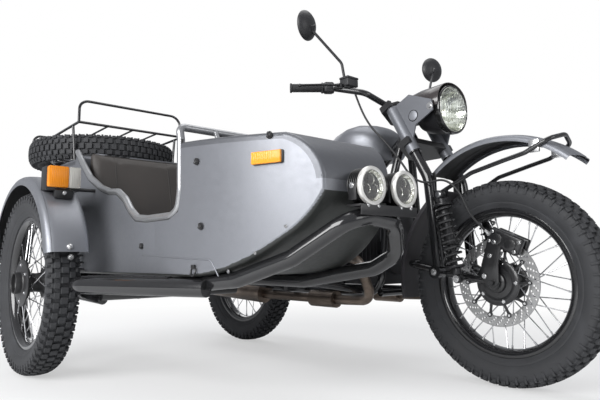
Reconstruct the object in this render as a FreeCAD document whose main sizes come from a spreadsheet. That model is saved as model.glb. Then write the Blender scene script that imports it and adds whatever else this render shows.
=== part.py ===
import FreeCAD, Part
import math
import os

from FreeCAD import Placement, Rotation, Vector

# Sidecar motorcycle. Millimetres, +X forwards, +Y to the left, +Z up. The lengths below are measured
# from the point where the rear tyre meets the ground; at the end every sub-part is placed so that the
# origin lies on the ground under the middle of the whole outline.

doc = FreeCAD.newDocument("sidecar_motorcycle")
sheet = doc.addObject("Spreadsheet::Sheet", "Sizes")

# Columns: alias, value in mm (degrees where the alias ends in _angle, a plain number in _count).
SIZES = (
    # Wheels, all alike, with 19 inch rims.
    ("tyre_radius", 350), ("tyre_half", 56), ("bead_seat", 240), ("rim_flange", 253), ("rim_half", 32),
    ("rim_base", 228), ("flange_wall", 5), ("seat_gap", 0.3), ("hub_radius", 42), ("hub_half", 46),
    ("hub_flange", 62), ("spoke_radius", 2.2), ("spoke_count", 18), ("axle_radius", 9),
    ("running_gap", 0.05), ("part_gap", 5), ("lug_depth", 9), ("lug_count", 22),
    ("lug_long", 34), ("lug_inner", 3), ("lug_flat", 33), ("lug_outer", 53), ("lug_shoulder", 338),
    ("cap_radius", 90), ("cap_reach", 79),
    # Where the wheels stand.
    ("wheelbase", 1540), ("sidecar_wheel_x", 200), ("track", 1151),
    # Front brake.
    ("disc_radius", 147.5), ("disc_inner", 112), ("disc_thick", 5), ("disc_y", 58), ("hole_count", 24),
    # Steering and fork.
    ("rake_angle", 29), ("steer_x", 1111), ("steer_z", 982), ("yoke_offset", 50), ("fork_half", 110),
    ("fork_top_z", 1020), ("fork_bend_z", 727), ("fork_foot_x", 1341), ("fork_foot_z", 400),
    ("leg_radius", 20), ("cover_radius", 25), ("cover_foot_z", 829), ("stem_radius", 15),
    ("yoke_thick", 26), ("head_radius", 29), ("head_length", 150), ("link_radius", 12.5),
    ("link_half", 76), ("link_pivot_x", 1336), ("link_pivot_z", 384), ("link_back_x", 1172),
    ("link_back_z", 416), ("shock_top_x", 1376), ("shock_top_z", 658), ("shock_foot_x", 1436),
    ("shock_foot_z", 362), ("shock_y", 134), ("coil_radius", 30), ("coil_wire", 4.5),
    ("damper_radius", 20), ("shock_pin", 7), ("stalk_radius", 5.5),
    # Front fender and its guard bar.
    ("fender_x", 1552), ("fender_z", 462), ("fender_radius", 392), ("fender_half", 76),
    ("fender_wall", 4), ("fender_skirt", 26), ("fender_front_angle", 48), ("fender_back_angle", 134),
    ("flap_radius", 408), ("flap_half", 78), ("flap_front_angle", 124), ("flap_back_angle", 190),
    ("guard_radius", 7.5),
    # Headlight, bars and mirrors.
    ("lamp_x", 1355), ("lamp_z", 998), ("lamp_radius", 95), ("lamp_depth", 150), ("bar_radius", 12),
    ("bar_end_y", 430), ("bar_clamp_x", 1112), ("bar_clamp_z", 1048), ("grip_radius", 17),
    ("grip_length", 125), ("mirror_x", 977), ("mirror_y", 408), ("mirror_z", 1343),
    ("mirror_radius", 59),
    # Motorcycle frame, engine, tank and seat.
    ("rail_radius", 16), ("rail_half", 135), ("rail_z", 300), ("engine_x", 930), ("engine_z", 440),
    ("engine_half_x", 130), ("engine_half_y", 118.7), ("engine_top", 640), ("gearbox_back", 590),
    ("cylinder_x", 975), ("cylinder_reach", 350), ("cylinder_core", 52), ("fin_radius", 78),
    ("fin_count", 8), ("fin_thick", 3.5), ("tank_front", 1063), ("tank_back", 700), ("tank_top", 1003),
    ("tank_floor", 838), ("tank_half", 150), ("saddle_front", 690), ("saddle_back", 130),
    ("saddle_top", 862), ("saddle_floor", 785), ("saddle_half", 128), ("rear_fender_radius", 388),
    ("pipe_radius", 19), ("pipe_y", 202), ("pipe_z", 270), ("muffler_radius", 44),
    ("stand_x", 480), ("stand_z", 283), ("stand_reach", 255), ("stand_half", 100),
    ("stand_pin", 8), ("arm_radius", 17), ("pedal_radius", 6),
    # Sidecar: boat-shaped body, tubular frame, wheel and fittings.
    ("body_y", 715), ("body_half", 262), ("body_wall", 16), ("edge_radius", 12), ("seam_z", 640),
    ("seam_lap", 4), ("hoop_x", 1200), ("body_floor", 382.6), ("nose_x", 1521),
    ("nose_z", 610), ("nose_half", 129), ("hood_front_x", 1413), ("hood_front_z", 773),
    ("hood_back_x", 1018), ("hood_back_z", 797), ("back_top_z", 905),
    ("tail_x", -618), ("tail_z", 700), ("trunk_top", 868), ("bulkhead_x", 110), ("trim_y", 969),
    ("trim_radius", 12.5), ("grab_z", 850), ("frame_radius", 24), ("frame_z", 358), ("near_y", 950),
    ("far_y", 500), ("cross_radius", 20), ("step_radius", 27), ("spare_x", -252), ("spare_z", 950),
    ("lid_thick", 8), ("rack_rod", 6), ("side_fender_radius", 392), ("side_fender_half", 75),
    ("fog_radius", 52), ("fog_x", 1585), ("fog_z", 623), ("fog_depth", 57), ("cushion_top", 596),
    ("cushion_floor", 470), ("rack_front", 92), ("rack_back", -598), ("rack_half", 252), ("deck_z", 1040),
    ("slat_radius", 4.5), ("strut_radius", 13), ("hinge_x", 92), ("hinge_z", 900),
    ("hinge_pin", 4), ("knuckle_radius", 8),
    ("knuckle_half", 15), ("knuckle_gap", 1.5), ("lid_back", -596), ("lid_front", 76), ("hose_radius", 4),
)
for row, (alias, value) in enumerate(SIZES, start=1):
    sheet.set(f"A{row}", alias)
    sheet.set(f"B{row}", str(value))
    sheet.setAlias(f"B{row}", alias)
doc.recompute()


class SheetValues:
    """Reads a driving size from the spreadsheet by its alias."""

    def __getattr__(self, alias):
        return float(sheet.get(alias))


size = SheetValues()
X_AXIS = Vector(1, 0, 0)
Y_AXIS = Vector(0, 1, 0)
Z_AXIS = Vector(0, 0, 1)
sub_parts = []


def sub_part(label, shape):
    """Keeps a worked-out shape as a document object of its own."""
    feature = doc.addObject("Part::Feature", label)
    feature.Label = label
    feature.Shape = shape
    sub_parts.append(feature)
    return feature


def primitive(kind, name, sizes, at, turn=None):
    """Adds a Part primitive whose sizes and place are expressions on the sheet."""
    solid = doc.addObject("Part::" + kind, name)
    if turn:
        solid.Placement = Placement(Vector(), Rotation(*turn))
    for property_name, expression in sizes.items():
        solid.setExpression(property_name, expression)
    for axis, expression in zip("xyz", at):
        solid.setExpression("Placement.Base." + axis, expression)
    return solid


def joined(label, pieces):
    """Fuses document objects into one sub-part."""
    fusion = doc.addObject("Part::MultiFuse", label)
    fusion.Label = label
    fusion.Shapes = pieces
    sub_parts.append(fusion)
    return fusion


def cylinder(radius, start, end):
    """A round bar between two points."""
    run = end - start
    return Part.makeCylinder(radius, run.Length, start, run)


def bent_path(points, bend):
    """Straight runs joined by tangent arcs of one radius, smaller where the runs are short."""
    edges = []
    last = points[0]
    for before, corner, after in zip(points, points[1:], points[2:]):
        back = (before - corner).normalize()
        ahead = (after - corner).normalize()
        half = back.getAngle(ahead) / 2
        if math.pi / 2 - half < 1e-3:
            continue
        room = 0.45 * min((before - corner).Length, (after - corner).Length)
        reach = min(bend / math.tan(half), room)
        radius = reach * math.tan(half)
        first = corner + back * reach
        second = corner + ahead * reach
        inwards = (back + ahead).normalize()
        middle = corner + inwards * (radius / math.sin(half) - radius)
        edges.append(Part.LineSegment(last, first).toShape())
        edges.append(Part.Arc(first, middle, second).toShape())
        last = second
    edges.append(Part.LineSegment(last, points[-1]).toShape())
    return Part.Wire(edges)


def tube(points, radius, bend):
    """A round tube or bar swept along a bent path."""
    path = bent_path(points, bend)
    start = path.Edges[0]
    ring = Part.Wire(Part.makeCircle(radius, points[0], start.tangentAt(start.FirstParameter)))
    return path.makePipeShell([ring], True, False)


def mirrored(shape):
    """The same shape on the other side of the motorcycle's middle plane."""
    return shape.mirror(Vector(), Y_AXIS)


def both_sides(shape):
    return [shape, mirrored(shape)]


def fused(shapes):
    return shapes[0].multiFuse(shapes[1:])


def outline(points):
    """A flat face from corners; a triple (through, end) pair of points marks an arc."""
    edges = []
    last = points[0]
    for item in points[1:]:
        if isinstance(item, tuple):
            through, end = item
            edges.append(Part.Arc(last, through, end).toShape())
            last = end
        else:
            edges.append(Part.LineSegment(last, item).toShape())
            last = item
    if (last - points[0]).Length > 1e-6:
        edges.append(Part.LineSegment(last, points[0]).toShape())
    return Part.Face(Part.Wire(edges))


def side_point(x, z, y=0.0):
    return Vector(x, y, z)


def ring_profile(pairs, centre, y):
    """A face in the plane through a wheel's axle, from (radius, offset along the axle) pairs."""
    return outline([Vector(centre.x, y + offset, centre.z + radius) for radius, offset in pairs])


def turned(face, centre, angle=360.0):
    return face.revolve(centre, Y_AXIS, angle)


# ---------------------------------------------------------------- wheels

def tyre():
    """An upright tyre about the origin: a ring with one flat facet for each lug of a row, and its two
    staggered rows of tread lugs, one of them with a lug at the very bottom."""
    half = size.tyre_half
    bead_half = size.rim_half - size.flange_wall - size.seat_gap
    seat = size.bead_seat + size.seat_gap
    lip = size.rim_flange + size.seat_gap
    crown = size.tyre_radius - size.lug_depth
    count = int(size.lug_count)
    step = 360.0 / count
    pairs = [(seat, -bead_half), (lip, -bead_half), (lip, -size.rim_half - 2),
             ((size.tyre_radius + lip) / 2, -half), (crown - 10, 6 - half), (crown, 0)]
    pairs += [(radius, -offset) for radius, offset in reversed(pairs[:-1])]
    spread = size.tyre_radius * math.tan(math.radians(step / 2))
    section = outline([Vector(-spread, offset, radius) for radius, offset in pairs])
    wedge = outline([Vector(), Vector(spread, 0, size.tyre_radius), Vector(-spread, 0, size.tyre_radius)])
    wedge.translate(-Y_AXIS * 2 * half)
    wedge = wedge.extrude(Y_AXIS * 4 * half)
    facet = section.extrude(X_AXIS * 2 * spread).common(wedge)
    back = size.lug_long / 2
    lug_section = [(crown - 5, size.lug_inner), (size.tyre_radius, size.lug_inner),
                   (size.tyre_radius, size.lug_flat), (size.lug_shoulder, size.lug_outer),
                   (size.lug_shoulder - 16, size.lug_outer - 9)]
    pieces = []
    for number in range(count):
        copy = facet.copy()
        copy.rotate(Vector(), Y_AXIS, step * number)
        pieces.append(copy)
        for out, phase in ((-1, 0), (1, 0.5)):
            lug = outline([Vector(-back, out * offset, radius) for radius, offset in lug_section])
            lug = lug.extrude(X_AXIS * size.lug_long)
            lug.rotate(Vector(), Y_AXIS, step * (number + phase))
            pieces.append(lug)
    return fused(pieces)


def rim(centre):
    """A dropped steel rim: a base band with a flange along each edge."""
    half = size.rim_half
    inner = half - size.flange_wall
    pairs = [
        (size.rim_base, -inner), (size.bead_seat, -half), (size.rim_flange, -half),
        (size.rim_flange, -inner), (size.bead_seat, -inner), (size.bead_seat, inner),
        (size.rim_flange, inner), (size.rim_flange, half), (size.bead_seat, half),
        (size.rim_base, inner),
    ]
    return turned(ring_profile(pairs, centre, centre.y), centre)


def hub(centre):
    """Hub barrel with two flanges and its laced spokes, bored for the axle."""
    half = size.hub_half
    flange = half - 8
    barrel = [
        Part.makeCylinder(size.hub_radius, 2 * half, centre - Y_AXIS * half, Y_AXIS),
        Part.makeCylinder(size.hub_flange, 7, centre + Vector(0, flange - 7, 0), Y_AXIS),
        Part.makeCylinder(size.hub_flange, 7, centre - Vector(0, flange, 0), Y_AXIS),
    ]
    count = int(size.spoke_count)
    for side in (-1, 1):
        for number in range(count):
            lean = 1 if number % 2 else -1
            foot = math.radians(360.0 / count * number + 5 * side)
            head = foot + math.radians(42) * lean
            near = size.hub_flange - 5
            far = size.rim_base - size.seat_gap - 0.3 * size.spoke_radius
            start = Vector(math.cos(foot) * near, side * (flange - 3.5 + 4 * lean), math.sin(foot) * near)
            end = Vector(math.cos(head) * far, side * (7 + 3 * lean), math.sin(head) * far)
            barrel.append(cylinder(size.spoke_radius, centre + start, centre + end))
    bore = size.axle_radius + size.running_gap
    return fused(barrel).cut(Part.makeCylinder(bore, 4 * half, centre - Y_AXIS * 2 * half, Y_AXIS))


front = Vector(size.wheelbase, 0, size.tyre_radius)
rear = Vector(0, 0, size.tyre_radius)
side = Vector(size.sidecar_wheel_x, -size.track, size.tyre_radius)
spare = Vector(size.spare_x, -size.body_y, size.spare_z)
flat = Placement(spare, Rotation(X_AXIS, 90))

# The sidecar wheel's hub is closed on its outer side by a flanged cap.
cap_face = Vector(0, -size.hub_half, 0)
hub_cap = Part.makeCylinder(size.cap_radius, 6, cap_face, -Y_AXIS)
cap_drum = Part.makeCylinder(size.hub_radius - 1, size.cap_reach - size.hub_half, cap_face, -Y_AXIS)
hub_cap = hub_cap.fuse(cap_drum)
hub_cap = hub_cap.cut(Part.makeCylinder(size.axle_radius + size.running_gap, 18, cap_face, -Y_AXIS))

upright_tyre = tyre()
upright_rim = rim(Vector())
upright_hub = hub(Vector())
for label, place in (("front", Placement(front, Rotation())), ("rear", Placement(rear, Rotation())),
                     ("sidecar", Placement(side, Rotation())), ("spare", flat)):
    wheel_hub = upright_hub.fuse(hub_cap) if label == "sidecar" else upright_hub
    for piece, shape in (("tyre", upright_tyre), ("rim", upright_rim), ("hub", wheel_hub)):
        copy = shape.copy()
        copy.Placement = place
        sub_part(f"{label}_{piece}", copy)


# Front brake disc: a drilled ring on a thinner spider that bolts to the hub's end.
disc_place = front - Y_AXIS * size.disc_y
disc_ring = Part.makeCylinder(size.disc_radius, size.disc_thick, disc_place, Y_AXIS)
disc_ring = disc_ring.cut(Part.makeCylinder(size.disc_inner, size.disc_thick, disc_place, Y_AXIS))
holes = []
for number in range(int(size.hole_count)):
    angle = 2 * math.pi * number / size.hole_count
    radius = size.disc_inner + (size.disc_radius - size.disc_inner) * (0.35 + 0.3 * (number % 2))
    spot = disc_place + Vector(math.cos(angle) * radius, 0, math.sin(angle) * radius)
    holes.append(Part.makeCylinder(4, size.disc_thick, spot, Y_AXIS))
disc_ring = disc_ring.cut(holes)
disc_arms = []
for number in range(5):
    arm = Part.makeBox(size.disc_inner + 4, size.disc_thick, 26, disc_place - Z_AXIS * 13)
    arm.rotate(disc_place, Y_AXIS, 72 * number + 20)
    disc_arms.append(arm)
disc_hub = Part.makeCylinder(52, size.disc_y - size.hub_half - size.seat_gap, disc_place, Y_AXIS)
disc_bore = Part.makeCylinder(size.axle_radius + size.running_gap + 3, size.disc_y, disc_place, Y_AXIS)
sub_part("front_brake_disc", fused([disc_ring, disc_hub] + disc_arms).cut(disc_bore))

# ---------------------------------------------------------------- steering and fork

rake = math.radians(size.rake_angle)
steer_up = Vector(-math.sin(rake), 0, math.cos(rake))
steer_ahead = Vector(math.cos(rake), 0, math.sin(rake))
steer_base = Vector(size.steer_x, 0, size.steer_z)
leg_base = steer_base + steer_ahead * size.yoke_offset


def on_line(base, direction, z):
    """The point of a line that lies at height z."""
    return base + direction * ((z - base.z) / direction.z)


def at_y(point, y):
    return Vector(point.x, y, point.z)


leg_top = on_line(leg_base, steer_up, size.fork_top_z)
leg_bend = on_line(leg_base, steer_up, size.fork_bend_z)
cover_foot = on_line(leg_base, steer_up, size.cover_foot_z)
leg_foot = side_point(size.fork_foot_x, size.fork_foot_z)
yoke_gap = 2
head_top = on_line(steer_base, steer_up, size.fork_top_z - size.yoke_thick)
head_foot = head_top - steer_up * size.head_length


def yoke(level):
    """A clamp plate across both fork legs, square to the steering axis."""
    ahead = size.yoke_offset + size.leg_radius
    wide = size.fork_half + 33
    plate = outline([Vector(-size.head_radius, -40, 0), Vector(18, -wide, 0), Vector(ahead, -wide, 0),
                     Vector(ahead, wide, 0), Vector(18, wide, 0), Vector(-size.head_radius, 40, 0)])
    plate = plate.extrude(Z_AXIS * size.yoke_thick)
    plate.rotate(Vector(), Y_AXIS, -size.rake_angle)
    plate.translate(level)
    return plate


top_level = head_top + steer_up * yoke_gap
foot_level = head_foot - steer_up * (yoke_gap + size.yoke_thick)
stem = cylinder(size.stem_radius, foot_level, top_level + steer_up * (size.yoke_thick + 8))
leg_room = []
for y in (-size.fork_half, size.fork_half):
    bore = size.cover_radius + size.seat_gap
    leg_room.append(cylinder(bore, at_y(leg_top + steer_up * 90, y), at_y(leg_bend, y)))
fork_yokes = fused([yoke(top_level), yoke(foot_level), stem]).cut(leg_room)

# Fork legs with their upper covers, headlight ears and the pivot boss of the link.
legs = []
for y in (-size.fork_half, size.fork_half):
    legs.append(tube([at_y(leg_top, y), at_y(leg_bend, y), at_y(leg_foot, y)], size.leg_radius, 120))
    legs.append(cylinder(size.cover_radius, at_y(leg_top, y), at_y(cover_foot, y)))
    out = 1 if y > 0 else -1
    ear = outline([
        side_point(1128, 1012), side_point(1232, 1062), side_point(1335, 1022),
        side_point(1340, 980), side_point(1262, 940), side_point(1240, 868),
    ])
    ear.translate(Vector(0, y + out * 2 - 3, 0))
    legs.append(ear.extrude(Y_AXIS * 6))
link_pivot = Vector(size.link_pivot_x, 0, size.link_pivot_z)
for y in (-size.fork_half, size.fork_half):
    out = 1 if y > 0 else -1
    legs.append(Part.makeCylinder(24, 40, at_y(link_pivot, y - 20), Y_AXIS))
    legs.append(Part.makeCylinder(7, size.shock_y + 14 - size.fork_half,
                                  side_point(size.shock_top_x, size.shock_top_z, y), Y_AXIS * out))
    legs.append(Part.makeBox(76, 7, 24, side_point(1316, size.shock_top_z - 6, y + out * 3.5 - 3.5)))
fork_tubes = fused(legs).cut(Part.makeCylinder(14 + size.seat_gap, 400, at_y(link_pivot, -200), Y_AXIS))
sub_part("fork_tubes", fork_tubes)

# Leading link: a loop behind the wheel, its pivot pins, two arms and the axle.
link_back = side_point(size.link_back_x, size.link_back_z)
loop = tube([at_y(front, -size.link_half), at_y(link_pivot, -size.link_half),
             at_y(link_back, -size.link_half), at_y(link_back, size.link_half),
             at_y(link_pivot, size.link_half), at_y(front, size.link_half)], size.link_radius, 48)
pins = [Part.makeCylinder(14, 58, at_y(link_pivot, -size.link_half - 58), Y_AXIS),
        Part.makeCylinder(14, 58, at_y(link_pivot, size.link_half), Y_AXIS)]
axle = Part.makeCylinder(size.axle_radius, 2 * size.link_half + 60,
                         at_y(front, -size.link_half - 30), Y_AXIS)
lugs = [Part.makeCylinder(23, 26, at_y(front, y - 13), Y_AXIS) for y in (-size.link_half, size.link_half)]
shock_foot = side_point(size.shock_foot_x, size.shock_foot_z)
shock_top = side_point(size.shock_top_x, size.shock_top_z)
pin_length = size.shock_y + 14 - size.link_half
foot_pin = [Part.makeCylinder(size.shock_pin, pin_length, at_y(shock_foot, y), Y_AXIS)
            for y in (-size.shock_y - 14, size.link_half)]
sub_part("fork_link", fused([loop, axle] + pins + lugs + foot_pin))


def spring_strut(top, foot, pin_radius):
    """A damper with a coil spring, drawn as stacked rings round the damper body."""
    run = foot - top
    unit = Vector(run).normalize()
    pieces = [
        cylinder(size.damper_radius, top + unit * 14, top + unit * (run.Length * 0.62)),
        cylinder(9, top + unit * 20, foot - unit * 12),
        cylinder(size.coil_radius + 3, top + unit * 30, top + unit * 38),
        cylinder(size.coil_radius + 3, foot - unit * 44, foot - unit * 36),
        Part.makeCylinder(15, 24, top - Y_AXIS * 12, Y_AXIS),
        Part.makeCylinder(15, 24, foot - Y_AXIS * 12, Y_AXIS),
    ]
    turns = 8
    for number in range(turns):
        level = 44 + (run.Length - 94) * number / (turns - 1)
        ring = Part.makeTorus(size.coil_radius - size.coil_wire, size.coil_wire, top + unit * level, unit)
        disc = cylinder(size.coil_radius - size.coil_wire, top + unit * (level - 1), top + unit * (level + 1))
        pieces += [ring, disc]
    bore = Part.makeCylinder(pin_radius + size.seat_gap, 60, foot - Y_AXIS * 30, Y_AXIS)
    upper = Part.makeCylinder(pin_radius + size.seat_gap, 60, top - Y_AXIS * 30, Y_AXIS)
    return fused(pieces).cut([bore, upper])


front_shock = spring_strut(at_y(shock_top, -size.shock_y), at_y(shock_foot, -size.shock_y), 7)
sub_part("fork_shocks", Part.makeCompound(both_sides(front_shock)))


def arch_section(centre, radius, half, wall, skirt):
    """The cross-section of a fender: a shallow crown with a skirt along each edge."""
    def at(offset, radial):
        return Vector(centre.x, centre.y + offset, centre.z + radial)

    edge = radius - skirt
    corner = 12
    low = radius - 5

    def half_section(side, top, reach):
        return [at(side * reach, top - 5 - corner),
                (at(side * (reach - 3.5), top - 8.5), at(side * (reach - corner), top - 5))]

    outer = [at(-half, edge)] + half_section(-1, radius, half)
    outer += [(at(0, radius), at(half - corner, low)),
              (at(half - 3.5, low - 3.5), at(half, low - corner)), at(half, edge)]
    reach = half - wall
    inside = low - wall
    outer += [at(reach, edge), at(reach, inside - corner),
              (at(reach - 3.5, inside - 3.5), at(reach - corner, inside)),
              (at(0, radius - wall), at(corner - reach, inside)),
              (at(3.5 - reach, inside - 3.5), at(-reach, inside - corner)), at(-reach, edge)]
    return outline(outer)


def arch(centre, radius, half, wall, skirt, start_angle, end_angle):
    """A fender bent round a centre between two angles measured from straight ahead, upwards."""
    face = arch_section(centre, radius, half, wall, skirt)
    face.rotate(centre, Y_AXIS, 90 - start_angle)
    return face.revolve(centre, Y_AXIS, start_angle - end_angle)


fender_centre = side_point(size.fender_x, size.fender_z)
fender_top = arch(fender_centre, size.fender_radius, size.fender_half, size.fender_wall,
                  size.fender_skirt, size.fender_front_angle, size.fender_back_angle)
flap = arch(front, size.flap_radius, size.flap_half, size.fender_wall, 24,
            size.flap_front_angle, size.flap_back_angle)
stays = []
for out in (-1, 1):
    reach = size.fork_half - size.leg_radius - size.seat_gap
    foot = side_point(1296, 632, out * (size.flap_half - 4) if out > 0 else -reach)
    stays.append(Part.makeBox(40, reach - size.flap_half + 4, 34, foot))
# Guard bar: a round loop over the fender's nose, its two arms ending on the fork legs.
guard_points = [Vector(1318, -106, 652), Vector(1476, -92, 729), Vector(1600, -90, 757),
                Vector(1672, -88, 772), Vector(1748, -82, 808), Vector(1766, 0, 830)]
guard_points += [Vector(p.x, -p.y, p.z) for p in reversed(guard_points[:-1])]
guard = tube(guard_points, size.guard_radius, 40).cut(fork_tubes)
sub_part("fender_guard", guard)

# The fender's crown hangs on the guard bar by a flared plate each side, and stands on the flap behind.
for out in (-1, 1):
    flare = Part.makeBox(36, 10, 44, Vector(1682, 75, 770))
    prop = Part.makeBox(26, 4, 80, Vector(1292, size.fender_half - 4, 672))
    stays += [flare, prop] if out > 0 else [mirrored(flare), mirrored(prop)]
sub_part("front_fender", fused([fender_top, flap] + stays).cut(guard))

# Headlight: a deep bowl with a bezel; the front is closed by a domed glass.
lamp = side_point(size.lamp_x, size.lamp_z)
bowl = outline([
    lamp, lamp + Z_AXIS * size.lamp_radius, lamp + Vector(-22, 0, size.lamp_radius),
    lamp + Vector(-24, 0, size.lamp_radius - 5),
    (lamp + Vector(-95, 0, size.lamp_radius - 26), lamp + Vector(-size.lamp_depth, 0, 30)),
    lamp + Vector(-size.lamp_depth, 0, 0),
])
ear_face = size.fork_half - 1 - size.seat_gap
bolts = Part.makeCylinder(9, 2 * ear_face, lamp + Vector(-38, -ear_face, 0), Y_AXIS)


def cowl_section(x, foot_z, half, high):
    """A thin arch across the motorcycle."""
    wall = 3
    face = outline([Vector(x, -half, foot_z), (Vector(x, 0, foot_z + high), Vector(x, half, foot_z)),
                    Vector(x, half - wall, foot_z),
                    (Vector(x, 0, foot_z + high - wall - 0.5), Vector(x, wall - half, foot_z))])
    return face.OuterWire


# Columns: x, foot z, half width, height.
COWL = ((1172, 1014, 88, 62), (1240, 1012, 94, 78), (1345, 1008, 97.5, 88))
cowl = Part.makeLoft([cowl_section(*row) for row in COWL], True, True)
sub_part("headlight", fused([bowl.revolve(lamp, X_AXIS, 360), bolts, cowl]))
glass_edge = size.lamp_radius - 8
glass_rise = 15
glass_bend = (glass_edge ** 2 + glass_rise ** 2) / (2 * glass_rise)
glass_start = lamp + X_AXIS * size.seat_gap
ball = Part.makeSphere(glass_bend, glass_start + X_AXIS * (glass_rise - glass_bend))
sub_part("headlight_glass", ball.common(Part.makeCylinder(glass_edge, 2 * glass_rise, glass_start, X_AXIS)))

# Handlebar with grips, switch housings, levers and the brake fluid reservoir.
bar_middle = side_point(size.bar_clamp_x, size.bar_clamp_z)
grip_foot = Vector(1000, -302, 1106)
bar_end = Vector(902, -size.bar_end_y, 1104)
bar_points = [bar_end, grip_foot, Vector(1104, -222, 1078), Vector(size.bar_clamp_x, -110, size.bar_clamp_z)]
bar_points += [Vector(p.x, -p.y, p.z) for p in reversed(bar_points)]
bar = tube(bar_points, size.bar_radius, 45)
grip_run = (grip_foot - bar_end).normalize()
grip = cylinder(size.grip_radius, bar_end - grip_run * 4, bar_end + grip_run * size.grip_length)
housing = cylinder(24, bar_end + grip_run * (size.grip_length + 4), bar_end + grip_run * 168)
lever_pivot = grip_foot + Vector(26, 12, 2)
lever = tube([grip_foot + Vector(10, 8, 0), lever_pivot + Vector(22, -10, 0),
              bar_end + grip_run * 90 + Vector(62, -12, -4), bar_end + Vector(58, -4, -4)], 7, 20)
reservoir = Part.makeBox(48, 62, 40, Vector(1022, -282, 1108))
controls = both_sides(fused([grip, housing, lever]))
handlebar = fused([bar, reservoir] + controls)
sub_part("handlebar", handlebar)
riser = []
for y in (-42, 42):
    foot = at_y(top_level + steer_up * (size.yoke_thick - 6), y)
    head = at_y(bar_middle - Z_AXIS * (size.bar_radius - 6), y)
    riser.append(cylinder(16, foot, head))
clamp_blocks = [Part.makeBox(44, 36, 40, bar_middle + Vector(-22, y - 18, -20)) for y in (-42, 42)]
bar_bore = Part.makeCylinder(size.bar_radius + size.seat_gap, 400, at_y(bar_middle, -200), Y_AXIS)
sub_part("fork_yokes", fused([fork_yokes] + riser + clamp_blocks).cut(bar_bore))

# Mirrors: round heads on bent stalks that rise from the bar.
mirror_centre = Vector(size.mirror_x, -size.mirror_y, size.mirror_z)
stalk = tube([Vector(1046, -268, 1106), Vector(1042, -286, 1200), mirror_centre + Vector(12, 14, -20)],
             size.stalk_radius, 30)
face_turn = Vector(-1, -0.25, 0.06).normalize()
head = outline([Vector(), Vector(size.mirror_radius, 0, 0), Vector(size.mirror_radius, 0, 8),
                (Vector(size.mirror_radius * 0.75, 0, 22), Vector(0, 0, 30))]).revolve(Vector(), Z_AXIS, 360)
head.Placement = Placement(mirror_centre - face_turn * -8, Rotation(Z_AXIS, face_turn * -1))
mirror_pair = Part.makeCompound(both_sides(stalk.fuse(head))).cut(handlebar)
sub_part("mirrors", Part.makeCompound([part for part in mirror_pair.Solids if part.BoundBox.ZLength > 100]))

# Front brake calliper on a bracket from the link arm.
calliper_place = Vector(1588, -size.disc_y, 487)
block = Part.makeBox(120, 62, 62, Vector(-60, -34, -31))
block = block.makeFillet(8, block.Edges)
block.rotate(Vector(), Y_AXIS, 24)
block.translate(calliper_place)
slot = Part.makeCylinder(size.disc_radius + size.part_gap, size.disc_thick + 2 * size.part_gap,
                         disc_place - Y_AXIS * size.part_gap, Y_AXIS)
arm_face = size.link_half + size.link_radius + size.seat_gap
bracket = outline([side_point(1512, 372), side_point(1556, 326), side_point(1640, 470),
                   side_point(1560, 520)])
bracket.translate(Vector(0, -arm_face, 0))
bracket = bracket.extrude(-Y_AXIS * 7)
axle_room = Part.makeCylinder(24, 2 * size.fork_half, at_y(front, -2 * size.fork_half), Y_AXIS)
calliper = block.cut(slot).fuse(bracket).cut(axle_room)
sub_part("front_calliper", calliper)

# Brake hose from the fluid reservoir to the calliper, outside the right fork leg. Its runs are joined by
# the roundest arcs that the shorter run of each corner has room for.
HOSE = ((1051, -234, 1112), (1060, -205, 1030), (1092, -180, 950), (1148, -160, 885), (1215, -158, 805),
        (1268, -158, 730), (1332, -157, 700), (1405, -152, 714), (1462, -146, 662), (1484, -132, 588),
        (1512, -118, 548), (1532, -86, 512))
hose_path = bent_path([Vector(*point) for point in HOSE], math.inf)
hose_ring = Part.makeCircle(size.hose_radius, Vector(*HOSE[0]), hose_path.Edges[0].tangentAt(0))
brake_hose = hose_path.makePipeShell([Part.Wire(hose_ring)], True, False)
hose_bends = [edge.Curve.Radius for edge in hose_path.Edges if hasattr(edge.Curve, "Radius")]
print("brake_hose bend radii:", " ".join(f"{radius:.0f}" for radius in hose_bends))
print(f"brake_hose length: {hose_path.Length:.0f}")
sub_part("brake_hose", brake_hose.cut([handlebar, calliper]))

# ---------------------------------------------------------------- motorcycle frame and engine

rail = size.rail_half
frame_pieces = [
    cylinder(size.head_radius, head_foot, head_top),
    tube([head_top - steer_up * 60, Vector(980, 0, 812), Vector(560, 0, 770), Vector(180, 0, 740)], 19, 120),
    tube([Vector(180, -110, 740), Vector(180, 110, 740)], size.rail_radius, 20),
]
for y in (-rail, rail):
    inner = 0.18 * y
    frame_pieces.append(tube([at_y(head_top - steer_up * 75 - steer_ahead * 18, inner),
                              Vector(1106, y * 0.5, 750), Vector(1090, y * 0.8, 560),
                              Vector(1085, y, size.rail_z), Vector(260, y, size.rail_z),
                              Vector(170, y * 0.8, 480), Vector(180, y * 0.8, 740)],
                             size.rail_radius, 70))
    frame_pieces.append(tube([Vector(180, y * 0.8, 740), Vector(-180, y * 0.8, 800)], 12, 20))
for x in (1085, 560, 405):
    frame_pieces.append(cylinder(14, Vector(x, -rail, size.rail_z), Vector(x, rail, size.rail_z)))
frame_pieces.append(cylinder(12, Vector(-20, -rail * 0.8, 773), Vector(-20, rail * 0.8, 773)))
stand_pin = side_point(size.stand_x, size.stand_z)
frame_pieces.append(cylinder(size.stand_pin, at_y(stand_pin, -rail), at_y(stand_pin, rail)))
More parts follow.
